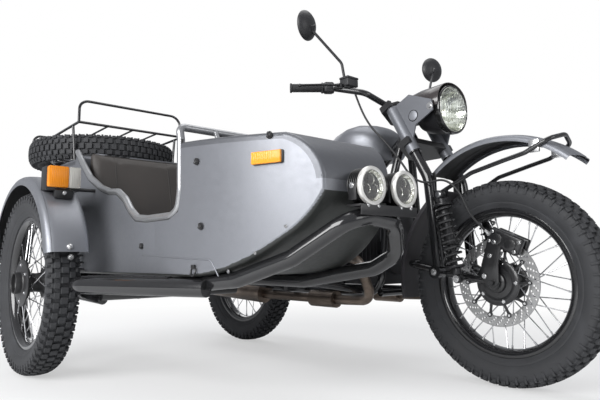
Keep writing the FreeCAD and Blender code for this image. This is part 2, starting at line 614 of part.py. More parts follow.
for out in (-1, 1):
    plate_y = size.engine_half_y + size.seat_gap
    frame_pieces.append(Part.makeBox(84, 12, 110, Vector(432, plate_y if out > 0 else -plate_y - 12, 300)))
    frame_pieces.append(Part.makeBox(60, 12, 54, Vector(820, plate_y if out > 0 else -plate_y - 12, 300)))
    lug_y = rail * 0.8 - 4
    frame_pieces.append(Part.makeBox(30, 8, 52, Vector(65, lug_y if out > 0 else -lug_y - 8, 708)))
    frame_pieces.append(Part.makeCylinder(7, 32, Vector(80, out * lug_y, 715), Y_AXIS * out))
main_frame = fused(frame_pieces).cut(cylinder(size.stem_radius + size.running_gap,
                                              head_foot - steer_up * 20, head_top + steer_up * 20))
sub_part("main_frame", main_frame)
frame_room = main_frame

# Engine block with its front cover, and the gearbox behind it.
primitive("Box", "engine_block",
          {"Length": "2 * Sizes.engine_half_x", "Width": "2 * Sizes.engine_half_y",
           "Height": "Sizes.engine_top - Sizes.rail_z - 30"},
          ("Sizes.engine_x - Sizes.engine_half_x", "-Sizes.engine_half_y", "Sizes.rail_z + 30"))
primitive("Cylinder", "front_cover", {"Radius": "92", "Height": "24"},
          ("Sizes.engine_x + Sizes.engine_half_x - 6", "0", "Sizes.engine_z + 20"), (Y_AXIS, 90))
primitive("Cylinder", "gearbox_shell", {"Radius": "98", "Height":
          "Sizes.engine_x - Sizes.engine_half_x - Sizes.gearbox_back + 6"},
          ("Sizes.gearbox_back", "0", "Sizes.engine_z"), (Y_AXIS, 90))
joined("engine_case", [doc.engine_block, doc.front_cover, doc.gearbox_shell])


def finned_cylinder(out):
    """One cylinder of the flat twin: core, cooling fins and rocker cover."""
    start = out * (size.engine_half_y + size.seat_gap)
    end = out * size.cylinder_reach
    core = Part.makeCylinder(size.cylinder_core, abs(end - start) - 40,
                             Vector(size.cylinder_x, start, size.engine_z), Y_AXIS * out)
    pieces = [core]
    room = abs(end - start) - 74
    for number in range(int(size.fin_count)):
        level = start + out * (14 + room * number / (size.fin_count - 1))
        fin = Part.makeBox(2 * size.fin_radius, size.fin_thick, 2 * size.fin_radius - 16,
                           Vector(size.cylinder_x - size.fin_radius, level,
                                  size.engine_z - size.fin_radius + 8))
        pieces.append(fin)
    cover = Part.makeBox(118, 46, 128, Vector(size.cylinder_x - 59, end - 46 if out > 0 else end,
                                              size.engine_z - 64))
    cover = cover.makeFillet(14, cover.Edges)
    return fused(pieces + [cover])


cylinder_pair = Part.makeCompound([finned_cylinder(-1), finned_cylinder(1)])
sub_part("cylinders", cylinder_pair)

# Intake: a throttle body and pipe behind each cylinder, meeting an air box under the seat.
intake_z = size.engine_z + 48
air_box = Part.makeBox(190, 170, 170, Vector(500, -85, 548))
air_box = air_box.makeFillet(18, air_box.Edges)
intakes = []
for out in (-1, 1):
    start = Vector(size.cylinder_x - size.fin_radius - size.seat_gap, out * 262, intake_z)
    intakes.append(tube([start, Vector(780, out * 262, intake_z + 10), Vector(668, out * 60, 590)], 23, 60))
    intakes.append(Part.makeCylinder(34, 52, Vector(800, out * 262, intake_z + 6), X_AXIS))
sub_part("air_intake", fused([air_box] + intakes).cut([frame_room, cylinder_pair]))

# Exhausts: down from each cylinder, back under it through a wide box, then a muffler.
pipes = []
for out in (-1, 1):
    y = out * size.pipe_y
    start = Vector(size.cylinder_x + size.fin_radius + size.seat_gap, out * 286, size.engine_z)
    pipes.append(tube([start, Vector(1112, out * 286, size.engine_z - 10), Vector(1104, y, size.pipe_z + 5),
                       Vector(960, y, size.pipe_z), Vector(430, y, size.pipe_z)], size.pipe_radius, 60))
    pipes.append(Part.makeCylinder(34, 140, Vector(770, y, size.pipe_z), X_AXIS))
    pipes.append(Part.makeCylinder(size.muffler_radius, 430, Vector(10, y + out * 4, size.pipe_z + 22),
                                   Vector(1, 0, -0.04)))
sub_part("exhausts", Part.makeCompound([fused(pipes[:3]), fused(pipes[3:])]).cut(cylinder_pair))

# Fuel tank: side outline and plan outline, crossed.
tank_side = outline([
    side_point(size.tank_front, size.tank_floor + 60), side_point(size.tank_front - 8, size.tank_floor + 84),
    (side_point(size.tank_front - 110, size.tank_top), side_point(840, size.tank_top - 12)),
    side_point(size.tank_back, size.tank_floor + 46), side_point(size.tank_back + 6, size.tank_floor),
    side_point(size.tank_front - 60, size.tank_floor),
])
tank_side.translate(-Y_AXIS * 400)
tank_side = tank_side.extrude(Y_AXIS * 800)
tank_plan = outline([
    Vector(size.tank_front + 2, -70, 0), (Vector(930, -size.tank_half, 0), Vector(size.tank_back, -82, 0)),
    Vector(size.tank_back, 82, 0), (Vector(930, size.tank_half, 0), Vector(size.tank_front + 2, 70, 0)),
]).extrude(Z_AXIS * 1400)
tank_front_face = outline([
    Vector(0, -size.tank_half, size.tank_floor), Vector(0, -size.tank_half - 4, size.tank_floor + 70),
    (Vector(0, 0, size.tank_top + 2), Vector(0, size.tank_half + 4, size.tank_floor + 70)),
    Vector(0, size.tank_half, size.tank_floor),
]).extrude(X_AXIS * 1400)
tank = tank_side.common(tank_plan).common(tank_front_face)
cap = Part.makeCylinder(28, 16, Vector(905, 0, size.tank_top - 6), Z_AXIS)
sub_part("fuel_tank", tank.fuse(cap).cut(frame_room))

# Rider's saddle.
saddle = outline([
    side_point(size.saddle_front, size.saddle_floor), side_point(size.saddle_front + 4, size.saddle_top - 30),
    (side_point(520, size.saddle_top - 26), side_point(380, size.saddle_top + 4)),
    (side_point(250, size.saddle_top + 16), side_point(size.saddle_back, size.saddle_top)),
    side_point(size.saddle_back + 8, size.saddle_floor),
])
saddle.translate(-Y_AXIS * size.saddle_half)
sub_part("rider_saddle", saddle.extrude(Y_AXIS * 2 * size.saddle_half).cut(frame_room))

# Rear fender, tail lamp with its bare plate, swing arm with the final drive, rear springs.
rear_fender = arch(rear, size.rear_fender_radius, 78, 4, 34, 62, 172)
fender_block = Part.makeBox(30, 60, 773 - 12 - size.seat_gap - 734, Vector(-35, -30, 734))
sub_part("rear_fender", rear_fender.fuse(fender_block))
fender_room = Part.makeCylinder(size.rear_fender_radius + size.seat_gap, 400, at_y(rear, -200), Y_AXIS)
lamp_box = Part.makeBox(120, 96, 74, Vector(-384, -48, 560))
plate_arm = Part.makeBox(60, 60, 30, Vector(-384, -30, 532))
plate = Part.makeBox(3, 190, 150, Vector(-387, -95, 400))
sub_part("rear_lamp", fused([lamp_box, plate_arm, plate]).cut(fender_room))

arm_pivot = Vector(470, 0, 372)
arm_pieces = [Part.makeCylinder(22, 2 * size.engine_half_y, at_y(arm_pivot, -size.engine_half_y), Y_AXIS)]
for out in (-1, 1):
    arm_path = [at_y(arm_pivot, out * 92), Vector(300, out * 92, 362), Vector(0, out * 92, 350)]
    arm_pieces.append(tube(arm_path, size.arm_radius, 60))
    arm_pieces.append(Part.makeCylinder(28, 24, Vector(0, out * 92 - 12, size.tyre_radius), Y_AXIS))
    arm_pieces.append(Part.makeCylinder(7, 48, Vector(20, out * 92, 366), Y_AXIS * out))
arm_pieces.append(Part.makeCylinder(size.axle_radius, 200, at_y(rear, -100), Y_AXIS))
arm_pieces.append(Part.makeCylinder(86, 34, at_y(rear, -size.hub_half - size.part_gap - 34), Y_AXIS))
sub_part("rear_arm", fused(arm_pieces))
shock_head = Vector(80, -126, 715)
shock_heel = Vector(20, -126, 366)
rear_shock = spring_strut(shock_head, shock_heel, 7)
sub_part("rear_shocks", Part.makeCompound(both_sides(rear_shock)))

# Footrests and pedals.
rests = []
for out in (-1, 1):
    rests.append(Part.makeCylinder(13, 112, Vector(650, out * (rail + 8), 308), Y_AXIS * out))
    pedal = [Vector(650, out * 205, 308), Vector(760, out * 205, 330), Vector(838, out * 205, 346)]
    rests.append(tube(pedal, size.pedal_radius, 20))
rest_pair = Part.makeCompound([rests[0].fuse(rests[1]), rests[2].fuse(rests[3])])
sub_part("footrests", rest_pair.cut(frame_room))

# Centre stand, folded back under the frame: it turns on the frame's cross pin.
stand = side_point(size.stand_x, size.stand_z)
brace = stand + Vector(-96, 0, -30)
heel = stand + Vector(-size.stand_reach, 0, -34)
stand_pieces = [Part.makeCylinder(13, 2 * size.stand_half, at_y(stand, -size.stand_half), Y_AXIS),
                cylinder(9, at_y(brace, -size.stand_half), at_y(brace, size.stand_half))]
for out in (-1, 1):
    inner_y = out * (size.stand_half - 14)
    stand_pieces.append(tube([at_y(stand, inner_y), at_y(brace, inner_y),
                              at_y(heel, out * (size.stand_half + 24))], 11, 40))
stand_bore = Part.makeCylinder(size.stand_pin + size.running_gap, 4 * size.stand_half,
                               at_y(stand, -2 * size.stand_half), Y_AXIS)
sub_part("centre_stand", fused(stand_pieces).cut(stand_bore))

# ---------------------------------------------------------------- sidecar body

middle_y = -size.body_y


def body_side(inset):
    """The body's outline from the side, set in by a wall."""
    floor = size.body_floor + inset
    face = outline([
        side_point(size.hood_back_x, size.hood_back_z - inset),
        side_point(size.hood_front_x, size.hood_front_z - inset),
        (side_point(1496 - inset * 0.8, 712 - inset * 0.5), side_point(size.nose_x - inset, size.nose_z)),
        (side_point(1478 - inset * 0.8, 545 + inset * 0.5), side_point(1409, 490 + inset)),
        (side_point(1235, 410 + inset), side_point(1040, floor)),
        side_point(-100, floor),
        (side_point(-420 + inset, 470 + inset), side_point(size.tail_x + inset, size.tail_z)),
        (side_point(-606 + inset, 830 - inset), side_point(-520, size.trunk_top - inset)),
        side_point(size.bulkhead_x - size.body_wall, size.trunk_top - inset),
        side_point(size.bulkhead_x - size.body_wall, size.back_top_z - inset),
        side_point(size.bulkhead_x, size.back_top_z - inset),
    ])
    face.translate(Y_AXIS * (middle_y - 400))
    return face.extrude(Y_AXIS * 800)


def body_plan(inset, low=300, high=1100):
    """The body's outline from above, set in by a wall."""
    half = size.body_half - inset
    nose = size.nose_half - inset
    tip = size.nose_x - inset
    tail = size.tail_x + inset

    def at(x, y):
        return Vector(x, middle_y + y, low)

    face = outline([
        at(860, -half), (at(1240, -half + 32), at(tip, -nose)), at(tip, nose),
        (at(1240, half - 32), at(860, half)), at(0, half),
        (at(-330, half - 16), at(tail, 190 - inset)), at(tail, -190 + inset),
        (at(-330, -half + 16), at(0, -half)),
    ])
    return face.extrude(Z_AXIS * (high - low))


def sharp_edges(shape, limit):
    """The edges where two faces of a shape meet at more than an angle in degrees."""
    found = []
    for edge in shape.Edges:
        middle = edge.valueAt((edge.FirstParameter + edge.LastParameter) / 2)
        normals = []
        for face in shape.Faces:
            if any(other.isSame(edge) for other in face.Edges):
                normals.append(face.normalAt(*face.Surface.parameter(middle)))
        if len(normals) == 2 and math.degrees(normals[0].getAngle(normals[1])) > limit:
            found.append(edge)
    return found


wall = size.body_wall
outer = body_side(0).common(body_plan(0))
outer = outer.makeFillet(size.edge_radius, sharp_edges(outer, 30))
inner = body_side(wall).common(body_plan(wall))
bulkhead = Part.makeBox(wall, 900, 700, Vector(size.bulkhead_x - wall, middle_y - 450, 300))
shell = outer.cut(inner.cut(bulkhead))
# The cockpit's mouth, and the dip in the outer wall where the passenger steps in.
mouth = body_plan(wall, size.nose_z, 1100).common(
    Part.makeBox(size.hood_back_x - 18 - size.bulkhead_x, 900, 600,
                 Vector(size.bulkhead_x, middle_y - 450, 600)))
trunk_mouth = body_plan(wall + 14, 820, 1100).common(
    Part.makeBox(620, 900, 400, Vector(-556, middle_y - 450, 800)))
TRIM = ((100, 904), (165, 847), (261, 772), (381, 718), (470, 694), (545, 687), (608, 655), (661, 608),
        (711, 580), (788, 572), (954, 572), (1000, 590), (1012, 649), (1008, 806), (997, 850))
door_gap = size.trim_radius + size.seat_gap
door_points = [side_point(x, z, middle_y - 400) for x, z in TRIM]
door_region = Part.Face(Part.makePolygon(door_points + [side_point(997, 1100, middle_y - 400),
                                                        side_point(100, 1100, middle_y - 400),
                                                        door_points[0]]))
door_region = door_region.makeOffset2D(door_gap, 2)
door = door_region.extrude(Y_AXIS * 380)
# Two knuckles of the trunk lid turn on pins held at the bulkhead's top edge, where it has a notch for each.
knuckle_room = size.knuckle_half + size.knuckle_gap
hinge_places = [Vector(size.hinge_x, middle_y + y, size.hinge_z) for y in (-150, 150)]
notches = [Part.makeBox(25, 2 * knuckle_room, 36, place - Vector(14, knuckle_room, 16))
           for place in hinge_places]
sidecar_body = shell.cut([mouth, trunk_mouth, door] + notches)
hinge_pins = []
for place in hinge_places:
    pin_half = knuckle_room + 5
    hinge_pins.append(Part.makeCylinder(size.hinge_pin, 2 * pin_half, place - Y_AXIS * pin_half, Y_AXIS))
    for y in (-pin_half, knuckle_room):
        hinge_pins.append(Part.makeBox(19, 5, 22, place + Vector(-8, y, -14)))

# The body's panels: side walls, the bulkhead, the hood and rear deck, and the pan below.
core = body_side(wall + size.seam_lap)
edge_band = sidecar_body.cut(core)
below_seam = Part.makeBox(2400, 900, size.seam_z, Vector(-700, middle_y - 450, 0))
between_walls = bulkhead.common(body_plan(wall))
side_walls = sidecar_body.common(core)
outer_half = Part.makeBox(2400, 450, 900, Vector(-700, middle_y - 450, 300))
sub_part("body_bulkhead", side_walls.common(between_walls))
sub_part("body_outer_wall", side_walls.common(outer_half).cut(between_walls))
sub_part("body_inner_wall", side_walls.cut(outer_half).cut(between_walls))
sub_part("body_top", fused([edge_band.cut(below_seam)] + hinge_pins))
sub_part("body_pan", edge_band.common(below_seam))

# Rails: the trim tube round the door dip and the grab bar across the cockpit.
trim_points = [side_point(x, z, -size.trim_y) for x, z in TRIM[:-1]]
trim_points += [side_point(997, size.grab_z, -size.trim_y), side_point(997, size.grab_z, -470)]
rails = tube(trim_points, size.trim_radius, 40)
props = [cylinder(8, Vector(1004, y, size.grab_z), Vector(1036, y, size.hood_back_z - 6))
         for y in (-840, -715, -590)]
sub_part("cockpit_rails", fused([rails] + props).cut(sidecar_body))

# Cushions of the passenger's seat.
cushion = Part.makeBox(470, 2 * (size.body_half - wall) - 24, size.cushion_top - size.cushion_floor,
                       Vector(300, middle_y - size.body_half + wall + 12, size.cushion_floor))
sub_part("seat_cushion", cushion.makeFillet(20, cushion.Edges))
pedestal = Part.makeBox(430, 2 * (size.body_half - wall) - 60,
                        size.cushion_floor - size.body_floor - wall - 0.6,
                        Vector(320, middle_y - size.body_half + wall + 30, size.body_floor + wall + 0.3))
sub_part("seat_base", pedestal)
back_plane = size.bulkhead_x + size.seat_gap
backrest = outline([side_point(back_plane + 30, size.back_top_z),
                    side_point(back_plane + 72, size.back_top_z - 3), side_point(292, 480),
                    side_point(back_plane, 480), side_point(back_plane, 850)])
backrest.translate(Y_AXIS * (middle_y - size.body_half + wall + 10))
backrest = backrest.extrude(Y_AXIS * 2 * (size.body_half - wall - 10))
sub_part("seat_back", backrest)

# Trunk lid with the spare wheel's post, and the rack of bent rods above it.
lid_floor = size.trunk_top + size.seat_gap
lid = body_plan(wall - 4, lid_floor, lid_floor + size.lid_thick).common(
    Part.makeBox(size.lid_front - size.lid_back, 900, 200, Vector(size.lid_back, middle_y - 450, 800)))
lid_ears = []
for place in hinge_places:
    ear = outline([side_point(size.lid_front - 24, lid_floor + 4), side_point(size.lid_front, lid_floor + 4),
                   side_point(place.x + 5, place.z - 6), side_point(place.x - 6, place.z + 5)])
    ear.translate(Y_AXIS * (place.y - size.knuckle_half))
    length = 2 * size.knuckle_half
    knuckle_end = place - Y_AXIS * size.knuckle_half
    knuckle = Part.makeCylinder(size.knuckle_radius, length, knuckle_end, Y_AXIS)
    bore = Part.makeCylinder(size.hinge_pin + size.running_gap, length, knuckle_end, Y_AXIS)
    lid_ears.append(knuckle.fuse(ear.extrude(Y_AXIS * length)).cut(bore))
post_top = size.spare_z - size.hub_half - size.seat_gap
lid_post = Part.makeCylinder(40, post_top - lid_floor, Vector(size.spare_x, middle_y, lid_floor), Z_AXIS)
lid_bolt = Part.makeCylinder(size.axle_radius, size.spare_z + size.hub_half + 14 - lid_floor,
                             Vector(size.spare_x, middle_y, lid_floor), Z_AXIS)
trunk_lid = fused([lid, lid_post, lid_bolt] + lid_ears)
sub_part("trunk_lid", trunk_lid)


def hoop(x, base_z, top_z, half, lean):
    """A round-cornered hoop of rod standing across the rack."""
    return tube([Vector(x, middle_y - half, base_z), Vector(x + lean, middle_y - half + 8, top_z),
                 Vector(x + lean, middle_y + half - 8, top_z), Vector(x, middle_y + half, base_z)],
                size.rack_rod, 45)


def rack_front(y):
    return Vector(size.rack_front, middle_y + y, size.deck_z)


def rack_back(y):
    return Vector(size.rack_back, middle_y + y, size.deck_z - 18)


rack_half = size.rack_half
hoops = [hoop(size.rack_front, size.deck_z, 1144, rack_half, -20),
         hoop(size.rack_back, size.deck_z - 18, 1098, rack_half, 0)]
rack = [cylinder(size.rack_rod, rack_front(-rack_half), rack_front(rack_half)),
        cylinder(size.rack_rod, rack_back(-rack_half), rack_back(rack_half))]
foot_z = lid_floor + size.lid_thick - 3
for out in (-1, 1):
    y = out * rack_half
    rack.append(cylinder(size.rack_rod, rack_front(y), rack_back(y)))
    rack.append(cylinder(size.rack_rod, Vector(20, middle_y + y, size.deck_z - 2),
                         Vector(20, middle_y + out * 240, foot_z)))
    rack.append(cylinder(size.rack_rod, Vector(-580, middle_y + y, size.deck_z - 18),
                         Vector(-580, middle_y + out * 168, foot_z)))
for step in (-120, 0, 120):
    rack.append(cylinder(size.slat_radius, rack_front(step), rack_back(step)))
rack_deck = fused(rack).cut(trunk_lid)
sub_part("rack_deck", rack_deck)
sub_part("rack_hoops", Part.makeCompound([piece.cut(rack_deck) for piece in hoops]))

# ---------------------------------------------------------------- sidecar chassis

near = -size.near_y
far = -size.far_y
level = size.frame_z
loop_points = [
    Vector(560, near + 60, level - 44), Vector(700, near + 20, level - 6), Vector(1012, near, level),
    Vector(1225, -905, 378), Vector(1398, -850, 436), Vector(1546, -790, 530), Vector(1552, -715, 546),
    Vector(1546, -600, 534), Vector(1470, far, 448), Vector(1380, far, 405), Vector(1051, far, level),
    Vector(-250, far, level),
]
loop = tube(loop_points, size.frame_radius, 90)
hoop_side = Part.makeBox(600, 900, 500, Vector(size.hoop_x, middle_y - 450, 200))
sub_part("sidecar_hoop", loop.common(hoop_side).cut(outer))
chassis = [loop.cut(hoop_side)]
for x, y_near, y_far, z in ((620, -1056, far, 316), (40, -930, far, level), (-230, -900, far, level)):
    chassis.append(tube([Vector(x, y_near, z), Vector(x, y_far, z)], size.cross_radius, 20))
chassis.append(cylinder(size.cross_radius, Vector(560, near + 60, level - 44),
                        Vector(-230, near + 60, level - 3)))
STRUTS = (
    ((1040, far, level), (1040, -rail, size.rail_z)),
    ((490, far, level), (490, -rail, size.rail_z)),
    ((1120, far, level + 8), (1117, -60, 700)),
    ((200, far, level), (190, -105, 700)),
)
sidecar_frame = fused(chassis).cut([frame_room, outer])
sub_part("sidecar_frame", sidecar_frame)
struts = []
for start, end in STRUTS:
    strut = cylinder(size.strut_radius, Vector(*start), Vector(*end))
    struts.append(strut.cut([sidecar_frame, frame_room, outer]))
sub_part("sidecar_struts", Part.makeCompound(struts))

# Trailing arm, axle and spring of the sidecar wheel.
arm_y = -size.track + size.tyre_half + size.part_gap + 22
side_arm = [
    tube([Vector(606, arm_y + 26, 300), Vector(430, arm_y, 312), Vector(200, arm_y, 350)], 19, 60),
    Part.makeCylinder(26, 30, Vector(200, arm_y - 15, size.tyre_radius), Y_AXIS),
    Part.makeCylinder(size.axle_radius, 140, Vector(200, arm_y, size.tyre_radius), -Y_AXIS),
    Part.makeCylinder(7, 70, Vector(260, arm_y, 352), Y_AXIS),
]
sub_part("sidecar_arm", fused(side_arm).cut(sidecar_frame))
strut_top = Vector(150, -1012, 690)
strut_foot = Vector(260, -1012, 352)
sub_part("sidecar_shock", spring_strut(strut_top, strut_foot, 7))

# Sidecar fender with its front lamp, and the reflector on the body's side.
side_fender = arch(side, size.side_fender_radius, size.side_fender_half, 4, 36, 14, 172)
fender_stays = [cylinder(7, Vector(x, -size.track + size.side_fender_half - 2, z),
                         Vector(x, middle_y - size.body_half - size.seat_gap, z))
                for x, z in ((120, 712), (330, 690))]
sub_part("sidecar_fender", fused([side_fender] + fender_stays))
fender_drum = Part.makeCylinder(size.side_fender_radius + size.seat_gap, 400,
                                at_y(side, side.y - 200), Y_AXIS)
lamp_face = Part.makeBox(80, 140, 104, Vector(420, side.y - 70, 650)).cut(fender_drum)
reflector = Part.makeBox(112, 60, 34, Vector(1286, 0, 703))
reflector.rotate(Vector(1342, 0, 720), Z_AXIS, 17)
reflector.translate(Vector(0, middle_y - size.body_half + 48, 0))
reflector = reflector.cut(outer)

# Step bar in front of the sidecar wheel, with a ribbed pad on top.
step_points = [Vector(1128, -946, 352), Vector(960, -1016, 352), Vector(650, -1136, 352),
               Vector(600, -1128, 352), Vector(600, -1000, 352)]
step_bar = tube(step_points, size.step_radius, 60).cut(sidecar_frame)
pad = outline([Vector(1000, -1004, 0), Vector(1000, -985, 0), Vector(640, -985, 0), Vector(640, -1130, 0)])
pad.translate(Z_AXIS * 373)
sub_part("step_bar", step_bar.fuse(pad.extrude(Z_AXIS * 10)))

# Fog lamps on their bracket in front of the nose.
shelf = Part.makeBox(52, 236, 7, Vector(1532, -778, level + 209))
fogs = [shelf]
for y in (-727, -594):
    face = Vector(size.fog_x, y, size.fog_z)
    fogs.append(cylinder(size.fog_radius - 7, face - X_AXIS * size.fog_depth, face))
    fogs.append(cylinder(size.fog_radius, face - X_AXIS * 15, face))
fog_lamps = fused(fogs).cut(loop)
sub_part("sidecar_lamps", Part.makeCompound([lamp_face, reflector, fog_lamps]))

# ---------------------------------------------------------------- placing and writing

doc.recompute()
whole = Part.makeCompound([piece.Shape for piece in sub_parts]).optimalBoundingBox(False, False)
middle = Vector((whole.XMin + whole.XMax) / 2, (whole.YMin + whole.YMax) / 2, 0)
for piece in sub_parts:
    piece.Placement = Placement(piece.Placement.Base - middle, piece.Placement.Rotation)
doc.recompute()

for item in doc.Objects:
    if {"Invalid", "Error"} & set(item.State):
        raise RuntimeError(item.Label + " did not compute")
for piece in sub_parts:
    if piece.Shape.isNull() or not piece.Shape.isValid():
        raise RuntimeError(piece.Label + " is not a valid shape")

os.makedirs("parts", exist_ok=True)
for piece in sub_parts:
    piece.Shape.exportStep(f"parts/{piece.Label}.step")
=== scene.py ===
import math

import bpy
from bpy.props import FloatProperty, FloatVectorProperty, IntProperty, PointerProperty
from mathutils import Matrix, Vector


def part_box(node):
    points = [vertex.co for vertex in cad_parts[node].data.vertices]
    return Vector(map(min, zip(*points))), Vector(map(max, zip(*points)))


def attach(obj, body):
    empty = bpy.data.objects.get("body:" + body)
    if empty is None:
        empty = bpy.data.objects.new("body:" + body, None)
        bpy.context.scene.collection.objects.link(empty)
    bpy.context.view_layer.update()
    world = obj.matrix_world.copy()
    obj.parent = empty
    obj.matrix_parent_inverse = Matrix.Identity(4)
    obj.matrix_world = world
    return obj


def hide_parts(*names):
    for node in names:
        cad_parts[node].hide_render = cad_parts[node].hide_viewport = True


bl_info = {
    "name": "Sidecar motorcycle dressing",
    "version": (1, 0, 0),
    "blender": (4, 5, 0),
    "location": "View3D > Sidebar > Sidecar",
    "description": "Builds the visible pieces and finishes of a sidecar motorcycle on its packed frame",
    "category": "Object",
}

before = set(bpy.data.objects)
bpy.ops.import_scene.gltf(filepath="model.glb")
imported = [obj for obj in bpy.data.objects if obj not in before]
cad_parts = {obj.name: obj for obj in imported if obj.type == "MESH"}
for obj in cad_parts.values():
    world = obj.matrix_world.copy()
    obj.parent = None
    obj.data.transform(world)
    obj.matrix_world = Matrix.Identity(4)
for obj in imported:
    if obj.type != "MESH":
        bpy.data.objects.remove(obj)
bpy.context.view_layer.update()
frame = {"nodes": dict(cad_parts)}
REAR_LOW, REAR_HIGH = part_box("rear_tyre")
# The point where the rear tyre meets the ground. Places below are given from it in millimetres.
ORIGIN = Vector(((REAR_LOW[0] + REAR_HIGH[0]) / 2, (REAR_LOW[1] + REAR_HIGH[1]) / 2, 0))
MM = 0.001
TYRE = 350  # outer radius of every tyre
FRONT, REAR, SIDE = (1540, 0, TYRE), (0, 0, TYRE), (200, -1151, TYRE)
SPARE = (-252, -715, 950)
OUTER_Y, NOSE_X = -977, 860  # the body's outer side, and where it starts to narrow
CAMERA, YAW, PITCH, ROLL = (2542, -1813, 437), math.radians(139.0), math.radians(5.94), -0.0074


def at(x, y, z):
    return ORIGIN + Vector((x, y, z)) * MM


def hull_y(x):
    """Where the outer side of the sidecar's body lies across, at a distance along it."""
    ahead = max(0.0, x - NOSE_X)
    return OUTER_Y - 0.07402 * ahead + 0.0004164 * ahead ** 2


# ---------------------------------------------------------------- modelling helpers

def clear():
    """Leaves edit mode with nothing selected."""
    if bpy.context.object and bpy.context.object.mode != "OBJECT":
        bpy.ops.object.mode_set(mode="OBJECT")
    bpy.ops.object.select_all(action="DESELECT")


def only(obj):
    clear()
    obj.select_set(True)
    bpy.context.view_layer.objects.active = obj
    return obj


def settled(obj):
    """Puts a piece's place, turn and size into its mesh."""
    only(obj)
    bpy.ops.object.transform_apply(location=True, rotation=True, scale=True)
    return obj


def picked(obj, test, kind="FACE"):
    """Opens a piece for editing with the faces, edges or points that pass a test selected."""
    only(obj)
    bpy.ops.object.mode_set(mode="EDIT")
    bpy.ops.mesh.select_mode(type=kind)
    bpy.ops.mesh.select_all(action="DESELECT")
    bpy.ops.object.mode_set(mode="OBJECT")
    mesh = obj.data
    items = {"FACE": mesh.polygons, "EDGE": mesh.edges, "VERT": mesh.vertices}[kind]
    for item in items:
        item.select = test(item)
    bpy.ops.object.mode_set(mode="EDIT")


def closed():
    bpy.ops.object.mode_set(mode="OBJECT")


def narrowed(obj, test, scale):
    """Scales the faces of a piece that pass a test, about their middle."""
    picked(obj, test)
    bpy.ops.transform.resize(value=scale)
    closed()
    return obj


def outward(obj):
    """Merges doubles and turns every face outwards."""
    only(obj)
    bpy.ops.object.mode_set(mode="EDIT")
    bpy.ops.mesh.select_all(action="SELECT")
    bpy.ops.mesh.remove_doubles(threshold=0.00002)
    bpy.ops.mesh.normals_make_consistent(inside=False)
    closed()
    return obj


def modified(obj, kind, **settings):
    """Adds a modifier and applies it."""
    only(obj)
    modifier = obj.modifiers.new(kind.title(), kind)
    for name, value in settings.items():
        setattr(modifier, name, value)
    bpy.ops.object.modifier_apply(modifier=modifier.name)
    return obj


def bevelled(obj, width, segments=2, angle=35):
    return modified(obj, "BEVEL", width=width * MM, segments=segments, limit_method="ANGLE",
                    angle_limit=math.radians(angle), harden_normals=False)


def smooth(obj, angle=35):
    only(obj)
    bpy.ops.object.shade_smooth_by_angle(angle=math.radians(angle))
    return obj


def turn_to(direction):
    """The turn that lays an upright primitive along a direction."""
    return Vector(direction).to_track_quat("Z", "Y").to_euler()


def rod(start, end, radius, vertices=16, end_radius=None):
    """A round bar between two places in millimetres."""
    first, last = at(*start), at(*end)
    run = last - first
    clear()
    bpy.ops.mesh.primitive_cone_add(vertices=vertices, radius1=radius * MM, depth=run.length,
                                    radius2=(radius if end_radius is None else end_radius) * MM,
                                    location=(first + last) / 2, rotation=turn_to(run))
    return settled(bpy.context.object)


def block(middle, sizes, turn=(0, 0, 0)):
    """A box by its middle and its sizes in millimetres, turned by degrees."""
    clear()
    bpy.ops.mesh.primitive_cube_add(size=1, location=at(*middle), rotation=[math.radians(t) for t in turn],
                                    scale=[s * MM for s in sizes])
    return settled(bpy.context.object)


def ball(middle, radii, segments=24, rings=12, turn=(0, 0, 0)):
    clear()
    bpy.ops.mesh.primitive_uv_sphere_add(segments=segments, ring_count=rings, radius=1, location=at(*middle),
                                         rotation=[math.radians(t) for t in turn])
    bpy.context.object.scale = [r * MM for r in radii]
    return settled(bpy.context.object)


def drawn(points):
    """A line through places, as loose edges, left open for editing."""
    clear()
    bpy.ops.mesh.primitive_plane_add(size=0.001, location=(0, 0, 0))
    obj = bpy.context.object
    bpy.ops.object.mode_set(mode="EDIT")
    bpy.ops.mesh.merge(type="CENTER")
    bpy.ops.mesh.select_mode(type="VERT")
    bpy.ops.mesh.select_all(action="SELECT")
    bpy.ops.transform.translate(value=points[0])
    for before, after in zip(points, points[1:]):
        bpy.ops.mesh.extrude_region_move(TRANSFORM_OT_translate={"value": after - before})
    bpy.ops.mesh.select_all(action="SELECT")
    return obj


def whole(half):
    """A profile of (radius, offset) points with its mirror image added."""
    return half + [(radius, -offset) for radius, offset in reversed(half[:-1])]


def lathed(profile, centre, axis=(0, 1, 0), steps=72):
    """Turns a line of (radius, offset along the axis) points about an axis through a centre."""
    along = Vector(axis).normalized()
    out = along.orthogonal().normalized()
    base = at(*centre)
    obj = drawn([base + out * (radius * MM) + along * (offset * MM) for radius, offset in profile])
    bpy.ops.mesh.spin(steps=steps, angle=2 * math.pi, center=base, axis=along)
    closed()
    return outward(obj)


def arched(profile, centre, start, end, thick=3.0, steps=40):
    """Bends a line of (radius, offset along Y) points round a centre and gives it a wall, inwards."""
    base = at(*centre)
    angle = math.radians(start)
    out = Vector((math.cos(angle), 0, math.sin(angle)))
    obj = drawn([base + out * (radius * MM) + Vector((0, offset * MM, 0)) for radius, offset in profile])
    bpy.ops.mesh.spin(steps=steps, angle=math.radians(end - start), center=base, axis=(0, 1, 0))
    closed()
    outward(obj)
    middle = obj.data.polygons[len(obj.data.polygons) // 2]
    if middle.normal.dot(middle.center - base) < 0:
        obj.data.flip_normals()
    return modified(obj, "SOLIDIFY", thickness=thick * MM, offset=-1.0) if thick else obj


